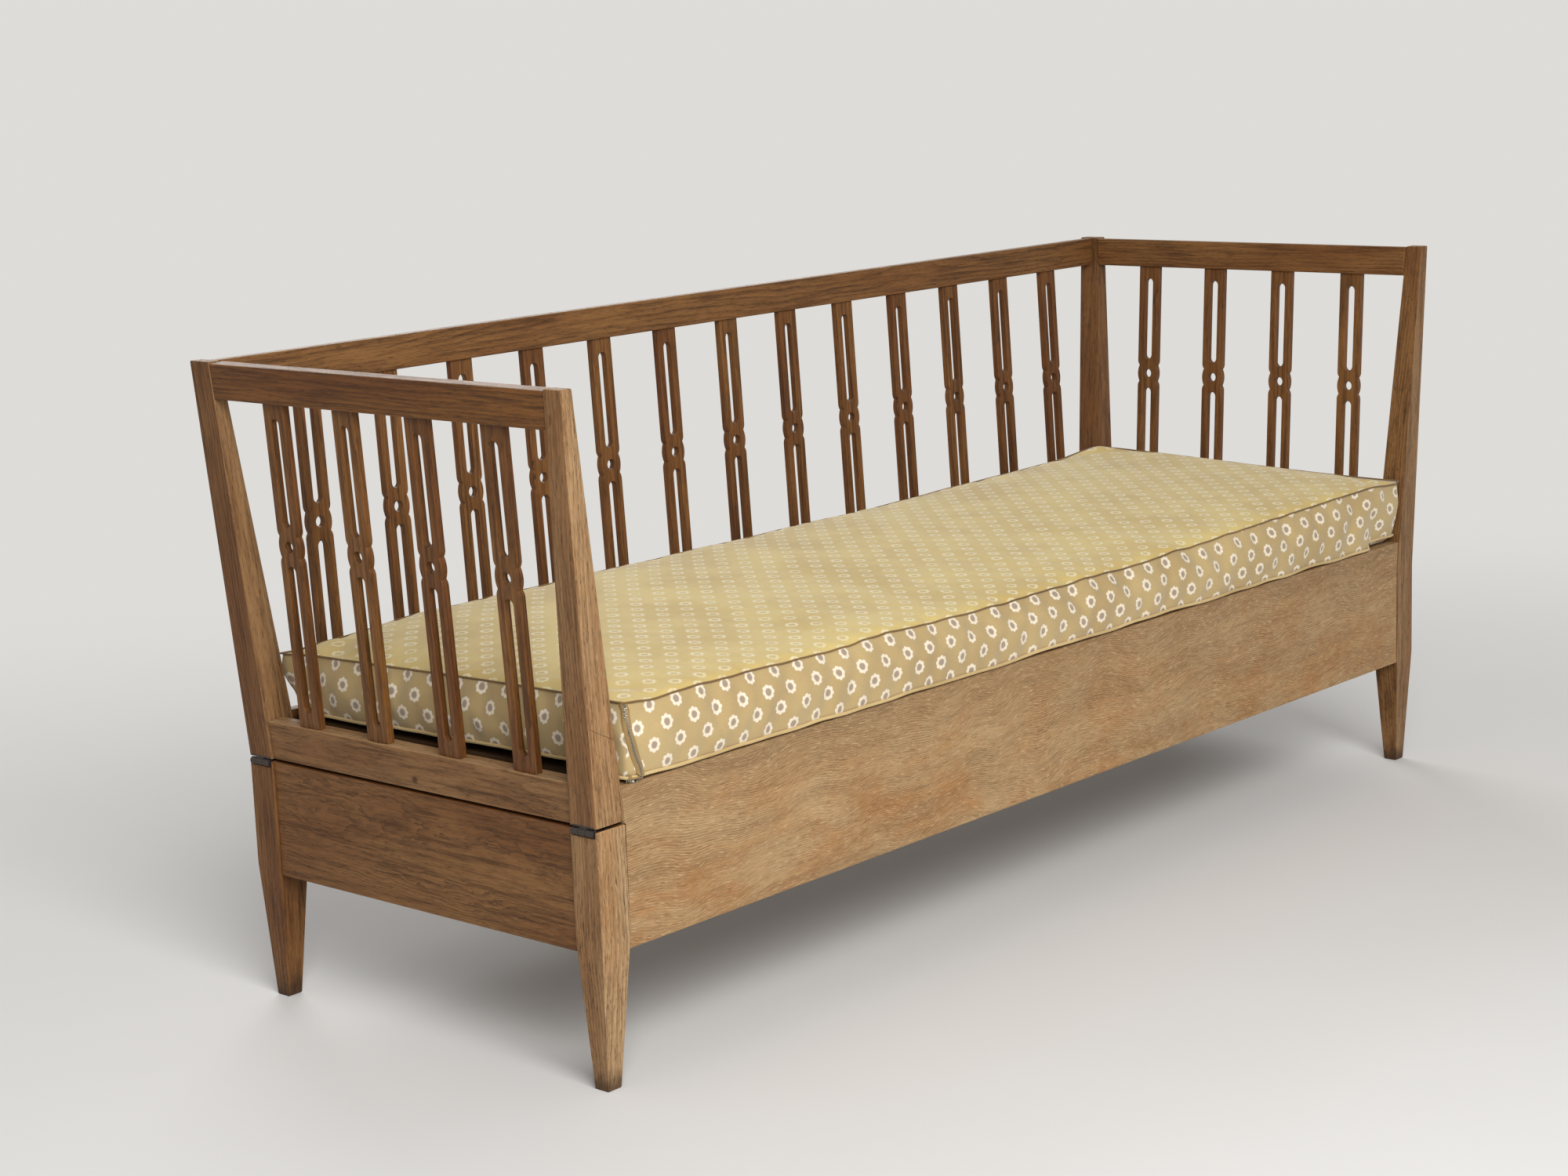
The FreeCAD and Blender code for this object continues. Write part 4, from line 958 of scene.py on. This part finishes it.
# Radius of each piping, and how far it stands out from its seam and above it
UPPER_PIPING = (1.2 * MM, 0.7 * MM, 0.4 * MM)
LOWER_PIPING = (2.1 * MM, 1.3 * MM, 0.4 * MM)
PIPING_SIDES = 10

# The zip's route round the front left corner: millimetres from the cushion's end and over its floor
ZIP_ROUTE = [(1.0, 92.0), (2.7, 80.0), (4.0, 63.0), (8.0, 43.0), (15.0, 27.0), (21.0, 16.0),
             (21.5, 9.0), (19.0, 3.5), (11.0, 1.5), (0.5, 1.5)]
ROUTE_PROUD = 1.0 * MM
# The zip climbs over the lower piping between these heights over the floor, in millimetres
CLIMB_FROM, CLIMB_FULL = 14.0, 5.0
OVER_PIPING = 3.6 * MM
# Section of a tape: millimetres from the teeth and over the cloth
TAPE_SECTION = [(0.9, 1.1), (2.4, 1.3), (4.2, 1.0), (5.8, 0.3)]
TAPE_HALF_THICK = 0.7 * MM
TAPE_SHARP = math.radians(50)
TOOTH_SPACING = 1.9 * MM
TOOTH_SIZE = Vector((1.0, 3.4, 1.8)) * MM
TOOTH_SHIFT = 0.8 * MM
TOOTH_LIFT = 1.7 * MM


def grown(name, mesh, tree, values):
    """A piece with the plain mesh that a Geometry Nodes tree makes from a path."""
    piece = placed(name, mesh)
    build = piece.modifiers.new("grow", "NODES")
    build.node_group = tree
    for key, value in values:
        build[key] = value
    apply_modifiers(piece)
    return piece


def sewn_to_cushion(piece):
    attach(piece, "cushion")


def cloth_uv(mesh):
    """Metres of cloth for trim, along its length and across."""
    uv = mesh.uv_layers.new(name="cloth")
    for loop in mesh.loops:
        corner = mesh.vertices[loop.vertex_index].co
        uv.data[loop.index].uv = (corner.x + corner.y, corner.z)


def piping(name, points, size, finish):
    """A cord sewn in along a closed seam, a little proud of it."""
    radius, out, up = size
    count = len(points)
    path = []
    for i, point in enumerate(points):
        run = points[(i + 1) % count] - points[i - 1]
        outward = Vector((run.y, -run.x, 0.0)).normalized()
        path.append(point + outward * out + Vector((0.0, 0.0, up)))
    mesh = bpy.data.meshes.new(name)
    mesh.from_pydata(path, [(i, (i + 1) % count) for i in range(count)], [])
    piece = grown(name, mesh, PIPING_TREE, zip(PIPING_KEYS, (radius, PIPING_SIDES, finish)))
    piece.data.shade_smooth()
    cloth_uv(piece.data)
    sewn_to_cushion(piece)


def zip_path(surface):
    """Points of the zip on the cloth, the cloth's direction at each, and how far the piping lifts it."""
    curve = bpy.data.curves.new("zip_route", "CURVE")
    curve.dimensions = "3D"
    spline = curve.splines.new("NURBS")
    spline.points.add(len(ZIP_ROUTE) - 1)
    for point, (x, z) in zip(spline.points, ZIP_ROUTE):
        point.co = (CUSHION_LOW.x + x * MM, CUSHION_LOW.y - ROUTE_PROUD, CUSHION_FLOOR + z * MM, 1.0)
    spline.order_u = 4
    spline.use_endpoint_u = True
    spline.resolution_u = 8
    route = placed("zip_route", curve)
    line = settled(route)
    bpy.data.objects.remove(route)
    path = []
    for vertex in line.vertices:
        spot, normal = surface.find_nearest(vertex.co)[:2]
        climb = smooth(CLIMB_FROM, CLIMB_FULL, (vertex.co.z - CUSHION_FLOOR) / MM) * OVER_PIPING
        path.append((spot, normal, climb))
    return path


def zip_tape(name, surface, path, side):
    """One woven tape of the zip, from its teeth to its sewn edge."""
    rows = []
    for i, (middle, normal, climb) in enumerate(path):
        run = path[min(i + 1, len(path) - 1)][0] - path[max(i - 1, 0)][0]
        across = run.cross(normal).normalized() * side
        upper, under = [], []
        for reach, height in TAPE_SECTION:
            spot, facing = surface.find_nearest(middle + across * reach * MM)[:2]
            upper.append(spot + facing * (climb + height * MM + TAPE_HALF_THICK))
            under.append(spot + facing * (climb + height * MM - TAPE_HALF_THICK))
        rows.append(upper + under[::-1])
    size = len(rows[0])
    faces = []
    for i in range(len(rows) - 1):
        near, far = i * size, (i + 1) * size
        for k in range(size):
            faces.append((near + k, near + (k + 1) % size, far + (k + 1) % size, far + k))
    faces.append(tuple(range(size)))
    faces.append(tuple(reversed(range((len(rows) - 1) * size, len(rows) * size))))
    mesh = bpy.data.meshes.new(name)
    mesh.from_pydata([corner for row in rows for corner in row], [], faces)
    shape = bmesh.new()
    shape.from_mesh(mesh)
    bmesh.ops.recalc_face_normals(shape, faces=shape.faces)
    shape.to_mesh(mesh)
    shape.free()
    mesh.materials.append(ZIP_TAPE)
    mesh.shade_smooth()
    mesh.set_sharp_from_angle(angle=TAPE_SHARP)
    cloth_uv(mesh)
    sewn_to_cushion(placed(name, mesh))


def corner_zip(cover):
    """The zip on the finished cover: two tapes and their teeth."""
    surface = BVHTree.FromPolygons([vertex.co for vertex in cover.vertices],
                                   [list(face.vertices) for face in cover.polygons])
    path = zip_path(surface)
    for name, side in (("zip_tape_front", 1.0), ("zip_tape_end", -1.0)):
        zip_tape(name, surface, path, side)
    line = bpy.data.meshes.new("zip_teeth")
    line.from_pydata([spot + normal * (climb + TOOTH_LIFT) for spot, normal, climb in path],
                     [(i, i + 1) for i in range(len(path) - 1)], [])
    lift = line.attributes.new("lift", "FLOAT_VECTOR", "POINT")
    for value, (spot, normal, climb) in zip(lift.data, path):
        value.vector = normal
    values = zip(TEETH_KEYS, (TOOTH_SPACING, TOOTH_SIZE, TOOTH_SHIFT))
    sewn_to_cushion(grown("zip_teeth", line, TEETH_TREE, values))


SEAM_CREASE = 0.85


def crease_seams(mesh, seams):
    """Keeps the seams crisp when the cover is refined."""
    on_seam = set()
    for path in seams:
        on_seam.update(frozenset(pair) for pair in zip(path, path[1:] + path[:1]))
    crease = mesh.attributes.new("crease_edge", "FLOAT", "EDGE")
    for edge in mesh.edges:
        if frozenset(edge.vertices) in on_seam:
            crease.data[edge.index].value = SEAM_CREASE


def seat_cushion():
    mesh, upper, lower, underside, top = cushion_shell()
    swollen(mesh, sorted(set(upper + lower + underside)), top)
    pressed(mesh)
    crease_seams(mesh, (upper, lower))
    mesh.materials.append(COTTON)
    piece = placed("cushion_cover_sewn", mesh)
    refine = piece.modifiers.new("refine", "SUBSURF")
    refine.levels = 1
    refine.render_levels = 1
    apply_modifiers(piece)
    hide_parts("cushion_cover", "cushion_core")
    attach(piece, "cushion")
    piping("cushion_piping_upper", [mesh.vertices[i].co.copy() for i in upper], UPPER_PIPING, UPPER_CORD)
    piping("cushion_piping_lower", [mesh.vertices[i].co.copy() for i in lower], LOWER_PIPING, LOWER_CORD)
    corner_zip(piece.data)


seat_cushion()


# Studio

BACKDROP = srgb(222, 220, 217)
FLOOR_TONE, FLOOR_TONE_DEEP = srgb(232, 230, 227), srgb(224, 222, 219)
FLOOR_REACH = 40.0
HAZE_FROM, HAZE_FULL = 0.9, 2.9
AIR_TONE, AIR_STRENGTH = (1.0, 1.0, 1.0, 1.0), 0.28
LAMPS = [("key_light", Vector((-2.45, -3.4, 2.8)), 215.0), ("fill_light", Vector((2.4, 3.8, 2.4)), 75.0)]
LAMP_WIDE, LAMP_HIGH = 3.0, 2.2
LAMP_AIM = Vector((0.0, 0.0, 0.4))


def looked_at(wire):
    """1 on rays that show the backdrop itself, straight or by a reflection, and 0 on rays of light."""
    kinds = ("Is Camera Ray", "Is Glossy Ray", "Is Transmission Ray")
    seen, glossy, through = wire.add("ShaderNodeLightPath", None, None, kinds)
    return seen.math("MAXIMUM", glossy).math("MAXIMUM", through)


def studio_floor():
    """A pale floor that runs into the backdrop's colour and can be seen through from below."""
    material, wire = new_finish("pale_floor")
    place = wire.place()
    tone = (place.cloud(3.0) * 0.5).tint(FLOOR_TONE, FLOOR_TONE_DEEP)
    boards = wire.add("ShaderNodeBsdfPrincipled", None, {"Base Color": tone, "Roughness": 0.75})
    distance = wire.add("ShaderNodeVectorMath", {"operation": "LENGTH"}, {0: place}, 1)
    far = distance.step(HAZE_FROM, HAZE_FULL)
    haze = wire.add("ShaderNodeEmission", None, {"Color": BACKDROP, "Strength": 1.0})
    surface = wire.add("ShaderNodeMixShader", None, {0: far * looked_at(wire), 1: boards, 2: haze})
    beneath = wire.add("ShaderNodeNewGeometry", None, None, "Backfacing")
    clear = wire.add("ShaderNodeBsdfTransparent")
    surface = wire.add("ShaderNodeMixShader", None, {0: beneath, 1: surface, 2: clear})
    wire.add("ShaderNodeOutputMaterial", None, {"Surface": surface}, ())
    mesh = bpy.data.meshes.new("studio_floor")
    corners = [(-1, -1), (1, -1), (1, 1), (-1, 1)]
    mesh.from_pydata([(x * FLOOR_REACH, y * FLOOR_REACH, 0) for x, y in corners], [], [(0, 1, 2, 3)])
    mesh.materials.append(material)
    placed("studio_floor", mesh)


def studio_air():
    """Even light from all round, with the backdrop's colour where it is looked at."""
    world = bpy.data.worlds.new("studio_air")
    world.use_nodes = True
    world.node_tree.nodes.clear()
    wire = Wire(world.node_tree)
    even = wire.add("ShaderNodeBackground", None, {"Color": AIR_TONE, "Strength": AIR_STRENGTH})
    pale = wire.add("ShaderNodeBackground", None, {"Color": BACKDROP, "Strength": 1.0})
    air = wire.add("ShaderNodeMixShader", None, {0: looked_at(wire), 1: even, 2: pale})
    wire.add("ShaderNodeOutputWorld", None, {"Surface": air}, ())
    SCENE.world = world


def studio_lamps():
    for name, stand, energy in LAMPS:
        light = bpy.data.lights.new(name, "AREA")
        light.shape = "RECTANGLE"
        light.size = LAMP_WIDE
        light.size_y = LAMP_HIGH
        light.energy = energy
        lamp = placed(name, light)
        lamp.location = stand
        lamp.rotation_euler = (stand - LAMP_AIM).to_track_quat("Z", "Y").to_euler()


studio_floor()
studio_air()
studio_lamps()


# Viewpoint of the photograph

VIEW_PLACE = Vector((-3.0369, -2.4996, 1.1739))
VIEW_RIGHT = Vector((0.65828, -0.7519, -0.0361))
VIEW_UP = Vector((0.1692, 0.10106, 0.98038))
VIEW_BACK = Vector((-0.73351, -0.65148, 0.19375))
VIEW_LENS, VIEW_SENSOR = 66.64, 36.0


def viewpoint():
    data = bpy.data.cameras.new("viewpoint")
    data.lens = VIEW_LENS
    data.sensor_width = VIEW_SENSOR
    data.sensor_fit = "HORIZONTAL"
    camera = placed("viewpoint", data)
    turn = Matrix((VIEW_RIGHT, VIEW_UP, VIEW_BACK)).transposed().to_4x4()
    camera.matrix_world = Matrix.Translation(VIEW_PLACE) @ turn
    SCENE.camera = camera


viewpoint()
